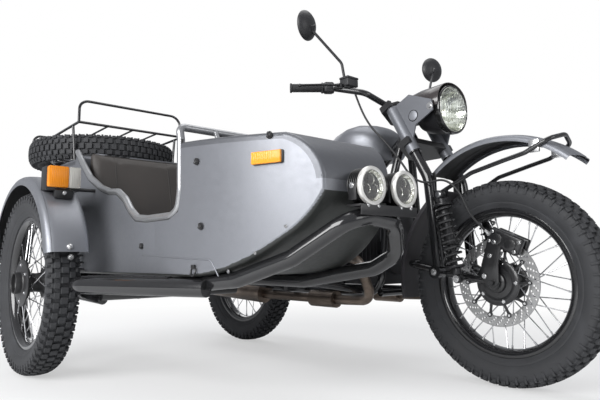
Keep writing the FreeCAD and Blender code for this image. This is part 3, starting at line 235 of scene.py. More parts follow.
def lofted(rows):
    """A skin through rows of places in millimetres; every row has the same number of places."""
    clear()
    across = len(rows[0])
    bpy.ops.mesh.primitive_grid_add(x_subdivisions=across - 1, y_subdivisions=len(rows) - 1, size=1)
    obj = bpy.context.object
    for number, vertex in enumerate(obj.data.vertices):
        vertex.co = at(*rows[number // across][number % across])
    obj.data.update()
    return outward(obj)


def ringed(obj, count, centre, axis=(0, 1, 0), turn=360.0):
    """Repeats all of a piece evenly round an axis, as one mesh."""
    only(obj)
    bpy.ops.object.mode_set(mode="EDIT")
    bpy.ops.mesh.select_all(action="SELECT")
    step = math.radians(turn) / count
    bpy.ops.mesh.spin(steps=count - 1, dupli=True, angle=step * (count - 1), center=at(*centre), axis=axis)
    closed()
    return obj


def settled_turn(obj, degrees, centre=FRONT):
    """Turns a piece's mesh round an axle."""
    base = Matrix.Translation(at(*centre))
    obj.data.transform(base @ Matrix.Rotation(math.radians(degrees), 4, "Y") @ base.inverted())
    return obj


def joined(pieces):
    only(pieces[0])
    for piece in pieces:
        piece.select_set(True)
    bpy.ops.object.join()
    return bpy.context.object


def copied(obj, matrix):
    """A copy with its own mesh, moved by a matrix."""
    twin = obj.copy()
    twin.data = obj.data.copy()
    bpy.context.collection.objects.link(twin)
    twin.data.transform(matrix)
    if matrix.determinant() < 0:
        twin.data.flip_normals()
    return twin


def mirrored(obj, y=0.0):
    """A mirrored copy on the other side of a plane across the motorcycle."""
    middle = at(0, y, 0)
    return copied(obj, Matrix.Translation(middle) @ Matrix.Scale(-1, 4, (0, 1, 0)) @ Matrix.Translation(-middle))


def both(obj):
    """A piece and its mirror image across the motorcycle, as one."""
    return joined([obj, mirrored(obj)])


def tube(points, radius, bend=40.0, sides=4):
    """A bar bent through places in millimetres, with round bends."""
    places = [at(*p) for p in points]
    clear()
    bpy.ops.curve.primitive_bezier_curve_add(location=(0, 0, 0))
    obj = bpy.context.object
    curve = obj.data
    curve.splines.remove(curve.splines[0])
    spline = curve.splines.new("BEZIER")
    marks = [(places[0], None, None)]
    for before, corner, after in zip(places, places[1:], places[2:]):
        back, ahead = before - corner, after - corner
        half = back.angle(ahead) / 2
        reach = min(bend * MM / math.tan(half), 0.45 * min(back.length, ahead.length))
        handle = reach * 0.55
        back.normalize()
        ahead.normalize()
        marks.append((corner + back * reach, corner + back * (reach * 1.2), corner + back * (reach - handle)))
        marks.append((corner + ahead * reach, corner + ahead * (reach - handle), corner + ahead * (reach * 1.2)))
    marks.append((places[-1], None, None))
    spline.bezier_points.add(len(marks) - 1)
    for number, (point, (place, left, right)) in enumerate(zip(spline.bezier_points, marks)):
        point.co = place
        point.handle_left_type = point.handle_right_type = "VECTOR" if left is None else "FREE"
        if left is not None:
            point.handle_left, point.handle_right = left, right
    curve.dimensions = "3D"
    curve.resolution_u = 8
    curve.bevel_depth = radius * MM
    curve.bevel_resolution = sides
    curve.use_fill_caps = True
    only(obj)
    bpy.ops.object.convert(target="MESH")
    return outward(bpy.context.object)


def dressed(obj, name, finish, body, stands_for=(), angle=35):
    """Names a finished piece, gives it its finish and lets it ride on its body."""
    smooth(obj, angle)
    obj.name = obj.data.name = name
    if finish is not None:
        obj.data.materials.clear()
        obj.data.materials.append(finish)
    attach(obj, body)
    if stands_for:
        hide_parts(*stands_for)
    return obj


def painted(node, finish):
    """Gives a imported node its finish."""
    mesh = frame["nodes"][node].data
    mesh.materials.clear()
    mesh.materials.append(finish)


# ---------------------------------------------------------------- finishes

class Shader:
    """A short way to write a node material."""

    def __init__(self, name):
        self.material = bpy.data.materials.new(name)
        self.material.use_nodes = True
        self.nodes = self.material.node_tree.nodes
        self.links = self.material.node_tree.links
        self.surface = self.nodes["Principled BSDF"]
        self.place = self.node("ShaderNodeTexCoord").outputs["Object"]

    def node(self, kind, inputs=None, **settings):
        made = self.nodes.new(kind)
        for key, value in settings.items():
            setattr(made, key, value)
        for key, value in (inputs or {}).items():
            socket = made.inputs[key]
            if isinstance(value, bpy.types.NodeSocket):
                self.links.new(value, socket)
            else:
                socket.default_value = value
        return made

    def mapped(self, scale=(1, 1, 1), centre=None, turn=(0, 0, 0)):
        """Object coordinates moved to a centre, then turned and scaled."""
        middle = centre or Vector()
        shifted = self.node("ShaderNodeVectorMath", {0: self.place, 1: middle}, operation="SUBTRACT").outputs[0]
        turned = [math.radians(angle) for angle in turn]
        return self.node("ShaderNodeMapping", {"Vector": shifted, "Scale": scale, "Rotation": turned}).outputs[0]

    def noise(self, scale, vector=None, detail=3.0, roughness=0.5):
        return self.node("ShaderNodeTexNoise", {"Vector": vector or self.place, "Scale": scale, "Detail": detail,
                                                "Roughness": roughness}).outputs["Fac"]

    def ramp(self, value, stops):
        ramp = self.node("ShaderNodeValToRGB", {"Fac": value})
        band = ramp.color_ramp
        while len(band.elements) < len(stops):
            band.elements.new(0.5)
        for element, (position, colour) in zip(band.elements, stops):
            element.position = position
            element.color = (*colour[:3], 1)
        return ramp.outputs["Color"]

    def ranged(self, value, low, high, from_low=0.3, from_high=0.7):
        return self.node("ShaderNodeMapRange", {"Value": value, "From Min": from_low, "From Max": from_high,
                                                "To Min": low, "To Max": high}).outputs["Result"]

    def bumped(self, height, strength, distance=0.0005, after=None):
        inputs = {"Height": height, "Strength": strength, "Distance": distance}
        if after is not None:
            inputs["Normal"] = after
        return self.node("ShaderNodeBump", inputs).outputs["Normal"]

    def set(self, **sockets):
        for key, value in sockets.items():
            socket = self.surface.inputs[key.replace("_", " ")]
            if isinstance(value, bpy.types.NodeSocket):
                self.links.new(value, socket)
            else:
                socket.default_value = value
        return self


def tint(colour, factor):
    return tuple(min(1.0, c * factor) for c in colour[:3])


def plain_finish(name, colour, roughness, metallic=0.0, spread=0.12, patch=9.0, grain=500.0, bump=0.15,
                 stretch=(1, 1, 1), coat=0.0, **sockets):
    """A finish whose colour drifts in soft patches, with a fine grain in its roughness and bump."""
    shader = Shader(name)
    soft = shader.noise(patch, detail=4.0)
    fine = shader.noise(grain, shader.mapped(stretch))
    colours = shader.ramp(soft, [(0.3, tint(colour, 1 - spread)), (0.7, tint(colour, 1 + spread))])
    shader.set(Base_Color=colours, Metallic=metallic, Coat_Weight=coat, Coat_Roughness=0.12,
               Roughness=shader.ranged(fine, roughness * 0.88, min(1.0, roughness * 1.12)),
               Normal=shader.bumped(fine, bump), **sockets)
    return shader.material


def satin_paint(name, colour, under=None):
    """Satin metallic paint with fine flake; faces that look down take a second coat where one is given."""
    shader = Shader(name)
    flake = shader.node("ShaderNodeTexVoronoi", {"Vector": shader.place, "Scale": 2600.0}).outputs["Color"]
    glitter = shader.node("ShaderNodeSeparateColor", {"Color": flake}).outputs["Red"]
    drift = shader.noise(2.2, detail=2.0)
    colours = shader.ramp(drift, [(0.25, tint(colour, 0.93)), (0.75, tint(colour, 1.07))])
    bright = shader.ranged(glitter, 0.86, 1.14, 0.0, 1.0)
    grey = shader.node("ShaderNodeVectorMath", {0: colours, 3: bright}, operation="SCALE").outputs[0]
    shine = shader.ranged(shader.noise(60.0), 0.36, 0.44)
    if under is not None:
        facing = shader.node("ShaderNodeNewGeometry").outputs["True Normal"]
        down = shader.node("ShaderNodeSeparateXYZ", {"Vector": facing}).outputs["Z"]
        lower = shader.ranged(down, 1.0, 0.0, -0.34, -0.26)
        mixed = shader.node("ShaderNodeMix", {"Factor": lower}, data_type="RGBA")
        shader.links.new(grey, mixed.inputs[6])
        mixed.inputs[7].default_value = (*under, 1)
        grey = mixed.outputs[2]
    shader.set(Base_Color=grey, Metallic=0.55, Roughness=shine,
               Normal=shader.bumped(shader.noise(900.0), 0.04, 0.0002))
    return shader.material


def rubber(name, colour):
    """Tyre rubber: dusty in the grooves, finely grained."""
    shader = Shader(name)
    dust = shader.noise(14.0, detail=6.0)
    fine = shader.noise(700.0, detail=2.0)
    colours = shader.ramp(dust, [(0.3, tint(colour, 0.8)), (0.55, colour), (0.8, tint(colour, 1.5))])
    shader.set(Base_Color=colours, Roughness=shader.ranged(dust, 0.62, 0.8),
               Normal=shader.bumped(fine, 0.35, 0.0004))
    return shader.material


def disc_finish(name, colour, centre, inner):
    """Ground steel outside a distance from the axle, with a black spider inside it."""
    shader = Shader(name)
    flat = shader.node("ShaderNodeVectorMath", {0: shader.mapped(centre=centre), 1: (1, 0, 1)},
                       operation="MULTIPLY")
    far = shader.node("ShaderNodeVectorMath", {0: flat.outputs[0]}, operation="LENGTH").outputs["Value"]
    outside = shader.ranged(far, 0.0, 1.0, inner - 0.0004, inner + 0.0004)
    fine = shader.noise(420.0)
    colours = shader.ramp(outside, [(0.2, (0.016, 0.016, 0.017)), (0.8, colour)])
    grooves = shader.node("ShaderNodeMath", {0: far, 1: 5200.0}, operation="MULTIPLY").outputs[0]
    wave = shader.node("ShaderNodeMath", {0: grooves}, operation="SINE").outputs[0]
    shader.set(Base_Color=colours, Metallic=outside, Roughness=shader.ranged(fine, 0.3, 0.42),
               Normal=shader.bumped(wave, 0.06, 0.0002))
    return shader.material


def leather(name, colour, scale=420.0):
    """Grained vinyl or leather."""
    shader = Shader(name)
    cells = shader.node("ShaderNodeTexVoronoi", {"Vector": shader.place, "Scale": scale},
                        feature="DISTANCE_TO_EDGE").outputs["Distance"]
    folds = shader.ranged(cells, 0.0, 1.0, 0.0, 0.12)
    soft = shader.noise(7.0, detail=5.0)
    colours = shader.ramp(soft, [(0.3, tint(colour, 0.82)), (0.7, tint(colour, 1.2))])
    shader.set(Base_Color=colours, Roughness=shader.ranged(soft, 0.48, 0.62),
               Normal=shader.bumped(folds, 0.3, 0.0005))
    return shader.material


def clear_glass(name, colour=(1, 1, 1), ribs=0.0, roughness=0.03, transmission=1.0):
    """Glass or clear plastic, with moulded ribs where asked."""
    shader = Shader(name)
    shader.set(Base_Color=(*colour, 1), Roughness=roughness, Transmission_Weight=transmission, IOR=1.45)
    fine = shader.noise(30.0)
    normal = shader.bumped(fine, 0.02, 0.0005)
    if ribs:
        wave = shader.node("ShaderNodeTexWave", {"Vector": shader.place, "Scale": ribs}, wave_type="BANDS",
                           bands_direction="Y").outputs["Fac"]
        normal = shader.bumped(wave, 0.5, 0.001, normal)
    shader.set(Normal=normal)
    return shader.material


def heated_pipe(name, colour):
    """Exhaust steel browned by heat in drifting bands."""
    shader = Shader(name)
    drift = shader.noise(5.0, shader.mapped((1, 3, 3)), detail=5.0)
    colours = shader.ramp(drift, [(0.3, tint(colour, 0.55)), (0.5, colour), (0.62, tint(colour, 1.7)),
                                  (0.75, (0.34, 0.33, 0.31))])
    fine = shader.noise(260.0)
    shader.set(Base_Color=colours, Metallic=0.9, Roughness=shader.ranged(fine, 0.28, 0.5),
               Normal=shader.bumped(fine, 0.1))
    return shader.material


# ---------------------------------------------------------------- sizes and colours

class WheelSizes(bpy.types.PropertyGroup):
    """What a user may change on the wheels."""
    blocks: IntProperty(name="Tread blocks", description="Blocks in each row of the tread", default=62,
                        min=20, max=90)
    block_depth: FloatProperty(name="Tread depth", description="Height of a tread block", default=9 * MM,
                               min=2 * MM, max=14 * MM, unit="LENGTH")
    rubber: FloatVectorProperty(name="Rubber", description="Colour of the tyres", default=(0.03, 0.031, 0.034),
                                size=3, min=0, max=1, subtype="COLOR")


class PaintColours(bpy.types.PropertyGroup):
    """The paints of the bodywork and frame."""
    body: FloatVectorProperty(name="Bodywork", description="Satin metallic paint of the body and fenders",
                              default=(0.205, 0.212, 0.232), size=3, min=0, max=1, subtype="COLOR")
    frame: FloatVectorProperty(name="Frame", description="Gloss black paint of the tubes",
                               default=(0.012, 0.012, 0.013), size=3, min=0, max=1, subtype="COLOR")
    pan: FloatVectorProperty(name="Underside", description="Coat of the body's underside",
                             default=(0.055, 0.058, 0.056), size=3, min=0, max=1, subtype="COLOR")
    seat: FloatVectorProperty(name="Seats", description="Vinyl of the saddle and the sidecar's seat",
                              default=(0.035, 0.03, 0.027), size=3, min=0, max=1, subtype="COLOR")


class StageSizes(bpy.types.PropertyGroup):
    """Light and camera."""
    lens: FloatProperty(name="Lens", description="Focal length of the camera", default=33.5, min=10, max=200,
                        unit="CAMERA")
    key: FloatProperty(name="Key light", description="Power of the large light", default=230, min=0, unit="POWER")
    room: FloatProperty(name="Room light", description="Strength of the even light of the room", default=0.42,
                        min=0)


# ---------------------------------------------------------------- stage

def pale_floor():
    """A pale floor that fades into the backdrop far off."""
    clear()
    bpy.ops.mesh.primitive_grid_add(x_subdivisions=40, y_subdivisions=40, size=1, location=(0, 0, 0))
    floor = bpy.context.object
    floor.scale = (60, 60, 1)
    settled(floor)
    floor.name = "studio_floor"
    shader = Shader("pale floor")
    shader.set(Base_Color=(0.84, 0.845, 0.85, 1), Roughness=0.75)
    seen = shader.node("ShaderNodeLightPath")
    white = shader.node("ShaderNodeEmission", {"Color": (1, 1, 1, 1), "Strength": 1.0})
    distance = shader.node("ShaderNodeVectorMath", {0: shader.place, 1: (0, 0, 0)}, operation="DISTANCE")
    far = shader.ranged(distance.outputs["Value"], 0.5, 1.0, 1.4, 3.2)
    direct = shader.node("ShaderNodeMath", {0: seen.outputs["Is Camera Ray"], 1: far}, operation="MULTIPLY")
    mixed = shader.node("ShaderNodeMixShader", {0: direct.outputs[0], 1: shader.surface.outputs[0],
                                                2: white.outputs[0]})
    output = shader.nodes["Material Output"]
    shader.links.new(mixed.outputs[0], output.inputs["Surface"])
    floor.data.materials.append(shader.material)


def studio_room(strength):
    """Even light all round, and a white backdrop for what is seen directly or through glass."""
    world = bpy.data.worlds.new("studio")
    bpy.context.scene.world = world
    world.use_nodes = True
    tree = world.node_tree
    room = tree.nodes["Background"]
    room.inputs["Color"].default_value = (0.93, 0.95, 1.0, 1)
    room.inputs["Strength"].default_value = strength
    backdrop = tree.nodes.new("ShaderNodeBackground")
    backdrop.inputs["Color"].default_value = (1, 1, 1, 1)
    backdrop.inputs["Strength"].default_value = 1.0
    rays = tree.nodes.new("ShaderNodeLightPath")
    clearly = tree.nodes.new("ShaderNodeMath")
    clearly.operation = "MAXIMUM"
    tree.links.new(rays.outputs["Is Camera Ray"], clearly.inputs[0])
    tree.links.new(rays.outputs["Is Transmission Ray"], clearly.inputs[1])
    mix = tree.nodes.new("ShaderNodeMixShader")
    tree.links.new(clearly.outputs[0], mix.inputs[0])
    tree.links.new(room.outputs[0], mix.inputs[1])
    tree.links.new(backdrop.outputs[0], mix.inputs[2])
    tree.links.new(mix.outputs[0], tree.nodes["World Output"].inputs["Surface"])


def soft_lights(power):
    """A large key light and three weaker ones."""
    for name, place, aim, size, share in (
            ("key", (1.1, -4.0, 2.1), (0.1, -0.4, 0.5), (3.4, 2.4), 1.0),
            ("top", (0.0, 0.4, 3.6), (0.0, -0.2, 0.6), (2.4, 2.4), 0.16),
            ("front", (3.8, 0.9, 1.6), (0.6, 0.2, 0.5), (1.6, 1.6), 0.08),
            ("back", (-3.4, 1.2, 2.2), (0.0, 0.0, 0.5), (2.2, 2.2), 0.12)):
        clear()
        bpy.ops.object.light_add(type="AREA", location=place)
        light = bpy.context.object
        light.name = name
        light.data.shape = "RECTANGLE"
        light.data.size, light.data.size_y = size
        light.data.energy = power * share
        light.rotation_euler = (Vector(aim) - Vector(place)).to_track_quat("-Z", "Y").to_euler()


def front_camera(lens):
    """A low camera ahead of the sidecar's nose."""
    clear()
    bpy.ops.object.camera_add(location=at(*CAMERA))
    camera = bpy.context.object
    camera.data.lens = lens
    camera.data.sensor_width = 36
    ahead = Vector((math.cos(YAW) * math.cos(PITCH), math.sin(YAW) * math.cos(PITCH), math.sin(PITCH)))
    look = ahead.to_track_quat("-Z", "Y").to_matrix().to_4x4() @ Matrix.Rotation(ROLL, 4, "Z")
    camera.rotation_euler = look.to_euler()
    bpy.context.scene.camera = camera


class SIDECAR_OT_stage(bpy.types.Operator):
    """Floor, backdrop, lights and camera"""
    bl_idname = "sidecar.stage"
    bl_label = "Stage"

    def execute(self, context):
        stage = context.scene.sidecar_stage
        pale_floor()
        studio_room(stage.room)
        soft_lights(stage.key)
        front_camera(stage.lens)
        context.scene.view_settings.view_transform = "Standard"
        return {"FINISHED"}


# ---------------------------------------------------------------- wheels

# Rows of tread blocks: offset from the middle, share of a step turned, width, length, tilt, how far the middle lies
# below the crown, and height beyond the tread's depth.
TREAD_ROWS = ((0, 0.0, 25, 22, 0.0, 0.0, 5), (-25, 0.5, 19, 21, -8.0, 1.8, 5), (25, 0.5, 19, 21, 8.0, 1.8, 5),
              (-45, 0.0, 17, 19, -34.0, 9.5, 5), (45, 0.0, 17, 19, 34.0, 9.5, 5),
              (-50.5, 0.5, 13, 8.5, -4.0, 22.0, 17), (50.5, 0.5, 13, 8.5, 4.0, 22.0, 17))


def tyre_mesh(wheel):
    """One dressed tyre standing at the rear wheel's place: casing, rim lines and blocks."""
    depth = wheel.block_depth / MM
    crown = TYRE - depth
    casing = [(241, -26), (253, -26.5), (254, -34), (262, -38), (268, -41.5), (272, -43), (275, -43), (278, -45.5),
              (300, -53), (318, -54), (330, -49), (336, -40), (crown - 1, -22), (crown, 0)]
    pieces = [lathed(whole(casing), REAR, steps=96)]
    for offset, phase, width, length, tip, drop, root in TREAD_ROWS:
        radius = crown + depth / 2 - drop
        knob = block((0, offset, TYRE + radius - 2.5), (length, width, depth + root), (-tip, 0, 0))
        if 40 < abs(offset) < 50:
            narrowed(knob, lambda f: f.normal.y * offset > 0.7, (0.86, 1, 1))
        bevelled(knob, 1.4, 1, 40)
        turned = copied(knob, Matrix.Translation(at(*REAR))
                        @ Matrix.Rotation(2 * math.pi * phase / wheel.blocks, 4, "Y")
                        @ Matrix.Translation(-at(*REAR)))
        bpy.data.objects.remove(knob)
        pieces.append(ringed(turned, wheel.blocks, REAR))
    return joined(pieces)


def to_wheel(place):
    return Matrix.Translation((Vector(place) - Vector(REAR)) * MM)


def to_spare():
    laid = Matrix.Rotation(math.radians(90), 4, "X")
    return Matrix.Translation(at(*SPARE)) @ laid @ Matrix.Translation(-at(*REAR))


def wheels():
    """Each wheel's name, the matrix that takes it from the rear wheel's place to its own, and its body."""
    return (("front", to_wheel(FRONT), "front_wheel"), ("rear", to_wheel(REAR), "rear_wheel"),
            ("sidecar", to_wheel(SIDE), "sidecar_wheel"), ("spare", to_spare(), "trunk_lid"))


class SIDECAR_OT_tyres(bpy.types.Operator):
    """Four blocky tyres, the spare lying flat on the trunk lid"""
    bl_idname = "sidecar.tyres"
    bl_label = "Tyres"

    def execute(self, context):
        wheel = context.scene.sidecar_wheels
        finish = rubber("tyre rubber", wheel.rubber)
        model = tyre_mesh(wheel)
        for name, matrix, body in wheels():
            dressed(copied(model, matrix), name + "_tread_tyre", finish, body, [name + "_tyre"])
        bpy.data.objects.remove(model)
        return {"FINISHED"}


def rolled_rim():
    """A rim with rolled edges, at the rear wheel's place."""
    half = [(228, 0), (229, -12), (233, -20), (240.3, -25), (244, -26.6), (249, -26.7), (252.4, -27.5),
            (253, -29.5), (252.4, -31.5), (249, -32), (243, -32), (238, -30.5), (233, -26), (228, -20),
            (225.5, -12), (224.5, 0)]
    far = [(radius, -offset) for radius, offset in reversed(half[2:])]
    rim = lathed(half[:-1] + far + half[:1], REAR, steps=96)
    return rim


def laced_spokes():
    """Crossed spokes with their bends and nipples, at the rear wheel's place."""
    spokes = []
    for side in (-1, 1):
        for lean in (-1, 1):
            foot = math.radians(5 * side + (20 if lean > 0 else 0))
            head = foot + math.radians(42) * lean
            start = (math.cos(foot) * 57, side * (34.5 + 4 * lean), TYRE + math.sin(foot) * 57)
            end = (math.cos(head) * 227, side * (7 + 3 * lean), TYRE + math.sin(head) * 227)
            run = Vector(end) - Vector(start)
            nut = [Vector(start) + run * share for share in (0.925, 0.99)]
            wire = rod(start, end, 2.0, 8)
            nipple = rod(nut[0], nut[1], 3.4, 8)
            bend = rod(start, Vector(start) - run.normalized() * 5, 3.2, 8)
            spokes.append(ringed(joined([wire, nipple, bend]), 9, REAR))
    lace = joined(spokes)
    return lace


def sidecar_hub_cover(dark, steel):
    """The stepped cover and bolts on the outer side of the sidecar's hub."""
    cap = lathed([(0, -61), (33, -61), (35.5, -64), (36, -77), (38, -79), (40, -78.6), (41, -76.5), (41, -57),
                  (45, -53), (86, -52), (89.4, -50.5), (90, -48.5), (89, -46), (0, -46)], SIDE, steps=56)
    dressed(cap, "sidecar_hub_cap", dark, "sidecar_wheel")
    heads = []
    for number in range(6):
        angle = math.radians(30 + 60 * number)
        place = (SIDE[0] + 68 * math.cos(angle), SIDE[1] - 52, SIDE[2] + 68 * math.sin(angle))
        heads.append(bolt(place, (0, -1, 0), 6, 6))
    dressed(joined(heads), "sidecar_hub_bolts", steel, "sidecar_wheel")


class SIDECAR_OT_rims(bpy.types.Operator):
    """Black rims with rolled edges, laced steel spokes with nipples, and hubs"""
    bl_idname = "sidecar.rims"
    bl_label = "Rims, spokes and hubs"

    def execute(self, context):
        black = plain_finish("gloss black rim", (0.012, 0.012, 0.013), 0.16, coat=0.6, spread=0.05, bump=0.02)
        steel = plain_finish("spoke steel", (0.62, 0.62, 0.63), 0.24, metallic=1.0, spread=0.08, bump=0.05)
        dark = plain_finish("hub black", (0.02, 0.02, 0.021), 0.4, spread=0.2, bump=0.1)
        rim = rolled_rim()
        lace = laced_spokes()
        barrel = lathed(whole([(9.2, -46), (26, -46), (30, -45), (41, -40), (60, -39), (62, -37), (62, -32),
                               (60, -30.5), (44, -29), (38, -18), (36, 0)]), REAR, steps=48)
        for name, matrix, body in wheels():
            dressed(copied(rim, matrix), name + "_rolled_rim", black, body, [name + "_rim"])
            dressed(copied(lace, matrix), name + "_spokes", steel, body, [name + "_hub"])
            dressed(copied(barrel, matrix), name + "_barrel", dark, body)
        for obj in (rim, lace, barrel):
            bpy.data.objects.remove(obj)
        sidecar_hub_cover(dark, steel)
        return {"FINISHED"}


# ---------------------------------------------------------------- fenders

FRONT_FENDER = [(365, -76), (371, -76.5), (377, -76), (382, -73.5), (385.6, -69), (387, -62), (388.4, -46),
                (388.8, -39), (390.6, -36.5), (391.8, -34), (392.2, -20), (392.4, 0)]
SIDE_FENDER = [(355, -75), (361, -75.5), (368, -75), (376, -72.5), (383, -67.5), (387, -61), (388.2, -58),
               (387.4, -56), (388.2, -54), (390.4, -48), (391.6, -30), (392, 0), (391.4, 30), (389.6, 50),
               (387, 62), (382, 70), (374, 74.5), (366, 75.5), (355, 75)]
REAR_FENDER = [(352, -78), (360, -78.5), (370, -77), (378, -72), (383, -64), (386, -50), (388, 0)]
FLAP = [(384, -78), (392, -78.5), (399, -77), (403, -72), (404.5, -64), (406.5, -40), (407.5, -8), (408, 0)]


def lined(obj, centre, lining):
    """Gives the faces that look towards a centre a second finish."""
    obj.data.materials.append(lining)
    base = at(*centre)
    for face in obj.data.polygons:
        away = face.center - base
        away.y = 0
        face.material_index = 1 if face.normal.dot(away.normalized()) < -0.2 else 0


def bolt(place, axis, radius, height, domed=False, washer=True):
    """A hexagon or domed bolt, on a washer unless told otherwise."""
    start = Vector(place)
    along = Vector(axis).normalized()
    pieces = []
    if washer:
        pieces.append(rod(start, start + along * (height * 0.25), radius * 1.45, 16))
    if domed:
        pieces.append(ball(start + along * (height * 0.2), (radius, radius, radius), 12, 8))
    else:
        pieces.append(bevelled(rod(start, start + along * height, radius, 6), radius * 0.12, 1, 40))
    return joined(pieces)


def bright_steel(name, shade=0.6, roughness=0.25):
    """Plated steel for bolts and fittings."""
    return plain_finish(name, (shade, shade, shade), roughness, metallic=1.0, spread=0.1, bump=0.05)


def front_fender(grey, black, plastic, steel):
    """Front fender with its flap, stays and guard brackets."""
    centre = (1552, 0, 462)
    top = arched(whole(FRONT_FENDER), centre, 48, 134, 2.5, 60)
    dressed(top, "front_fender_top", grey, "steering", ["front_fender"], 40)
    lined(top, centre, black)
    flap = arched(whole(FLAP), FRONT, 124, 190, 3.5, 40)
    dressed(flap, "front_flap", plastic, "steering", angle=40)
    stays = [bevelled(block((1305, side * 74.5, 712), (26, 4, 80)), 1) for side in (-1, 1)]
    dressed(joined(stays), "front_fender_stays", black, "steering")
    bracket = []
    for side in (-1, 1):
        bracket.append(bevelled(block((1700, side * 80, 792), (34, 9, 42)), 1.5))
        bracket.append(bolt((1700, side * 84.5, 790), (0, side, 0), 5.5, 6))
    dressed(joined(bracket), "guard_flare_brackets", steel, "steering")


def sidecar_fender(grey, black, steel):
    """Sidecar fender with its stays and bolt."""
    lift = 20
    raised = (SIDE[0], SIDE[1], SIDE[2] + lift)
    side = arched(SIDE_FENDER, raised, 14, 172, 2.5, 90)
    dressed(side, "sidecar_fender_shell", grey, "chassis", ["sidecar_fender"], 40)
    lined(side, raised, black)
    pieces = [rod((x, -1078, z), (x, -977.4, z), 7) for x, z in ((120, 712 + lift), (330, 690 + lift))]
    dressed(joined(pieces), "sidecar_fender_stays", black, "chassis")
    angle = math.radians(16.5)
    foot = (200 + 391 * math.cos(angle), -1151, 350 + lift + 391 * math.sin(angle))
    dressed(bolt(foot, (math.cos(angle), 0, math.sin(angle)), 11, 10, True, False), "sidecar_fender_bolt", steel,
            "chassis")


def rear_fender(grey, black):
    """Rear fender with the seat of its lamp."""
    rear = arched(whole(REAR_FENDER), REAR, 62, 172, 2.5, 60)
    lamp_seat = bevelled(block((-20, 0, 747), (30, 60, 26)), 2)
    rear = joined([rear, lamp_seat])
    dressed(rear, "rear_fender_shell", grey, "chassis", ["rear_fender"], 40)
    lined(rear, REAR, black)


class SIDECAR_OT_fenders(bpy.types.Operator):
    """The three fenders with rolled edges, the front one with its crown band, flap and stays"""
    bl_idname = "sidecar.fenders"
    bl_label = "Fenders"

    def execute(self, context):
        paints = context.scene.sidecar_paints
        grey = satin_paint("fender paint", paints.body)
        black = plain_finish("fender underside", (0.018, 0.018, 0.019), 0.55, bump=0.3)
        plastic = plain_finish("grained flap plastic", (0.05, 0.047, 0.052), 0.55, grain=800, bump=0.35)
        steel = bright_steel("zinc bolts", 0.6, 0.28)
        front_fender(grey, black, plastic, steel)
        sidecar_fender(grey, black, steel)
        rear_fender(grey, black)
        return {"FINISHED"}


# ---------------------------------------------------------------- lamps

# The middle of the headlight's front edge, and the middles of the boss and bolt on its right ear.
LAMP, EAR_BOSS, EAR_BOLT = (1355, 0, 998), (1251, -114, 975), (1327, -114, 998)

def reflector_finish(name, facets):
    """Bright reflector broken into facets."""
    shader = Shader(name)
    cells = shader.node("ShaderNodeTexVoronoi", {"Vector": shader.place, "Scale": facets}).outputs
    shade = shader.node("ShaderNodeSeparateColor", {"Color": cells["Color"]}).outputs["Red"]
    colours = shader.ramp(shade, [(0.1, (0.42, 0.43, 0.36)), (0.5, (0.75, 0.76, 0.7)), (0.9, (0.95, 0.95, 0.9))])
    shader.set(Base_Color=colours, Metallic=1.0, Roughness=0.12,
               Normal=shader.bumped(cells["Distance"], 0.6, 0.002))
    return shader.material


def headlight_lamp(satin, gloss):
    """The lamp itself: bowl, bezel, reflector, bulb and glass."""
    chrome = reflector_finish("faceted reflector", 60.0)
    lens = clear_glass("ribbed lamp glass", (0.97, 0.99, 0.98), ribs=22.0)
    bowl = lathed([(0, -150), (22, -149.5), (44, -144), (63, -131), (76, -108), (84, -78), (88, -46), (89.5, -26),
                   (86, -24), (84, -46), (70, -100), (40, -138), (0, -144)], LAMP, (1, 0, 0), 64)
    ears = [rod((1317, side * 80, 998), (1317, side * 108.4, 998), 9) for side in (-1, 1)]
    bowl = joined([bowl] + ears)
    dressed(bowl, "headlight_bowl", satin, "steering", ["headlight"])
    bezel = lathed([(85, -28), (90, -28.5), (93.5, -26), (95, -21), (95, -7), (94, -2.5), (91.5, 0), (88.5, 0),
                    (86.5, -3), (85.6, -9), (85, -28)], LAMP, (1, 0, 0), 64)
    dressed(bezel, "headlight_bezel", gloss, "steering")
    bright = lathed([(86.2, -1.5), (82, -14), (72, -34), (58, -52), (40, -66), (18, -74), (0, -75)], LAMP,
                    (1, 0, 0), 64)
    modified(bright, "SOLIDIFY", thickness=1.5 * MM, offset=-1)
    dressed(bright, "headlight_reflector", chrome, "steering")
    bulb = joined([ball((1302, 0, 998), (16, 11, 11)), rod((1284, 0, 998), (1300, 0, 998), 9)])
    dressed(bulb, "headlight_bulb", clear_glass("bulb glass", (1.0, 0.97, 0.9)), "steering")
    dome = [(0, 15.3), (20, 14.4), (40, 12.1), (60, 8.2), (76, 3.8), (86.5, -0.6)]
    glass = lathed(dome + [(r - 0.2, o - 2.4) for r, o in reversed(dome[1:])] + [(0, 12.9)], LAMP, (1, 0, 0), 64)
    dressed(glass, "headlight_lens", lens, "steering", ["headlight_glass"])


def headlight_cowl():
    """The smoked cowl over the bowl."""
    cover = plain_finish("smoked cowl plastic", (0.04, 0.034, 0.034), 0.22, coat=0.4, spread=0.15, bump=0.03)
    rows = []
    for x, z, wide, high in ((1134, 1012, 74, 34), (1150, 1016, 82, 48), (1190, 1016, 92, 68), (1250, 1014, 97, 82),
                             (1310, 1010, 99, 90), (1352, 1008, 99, 94)):
        row = []
        for number in range(17):
            angle = math.radians(-4 + 188 * number / 16)
            row.append((x, -wide * math.cos(angle), z + high * math.sin(angle) ** 0.8 if math.sin(angle) > 0
                        else z + high * math.sin(angle)))
        rows.append(row)
    cowl = modified(lofted(rows), "SOLIDIFY", thickness=3 * MM, offset=-1)
    bevelled(cowl, 0.8, 1, 60)
    dressed(cowl, "headlight_cowl", cover, "steering", angle=50)


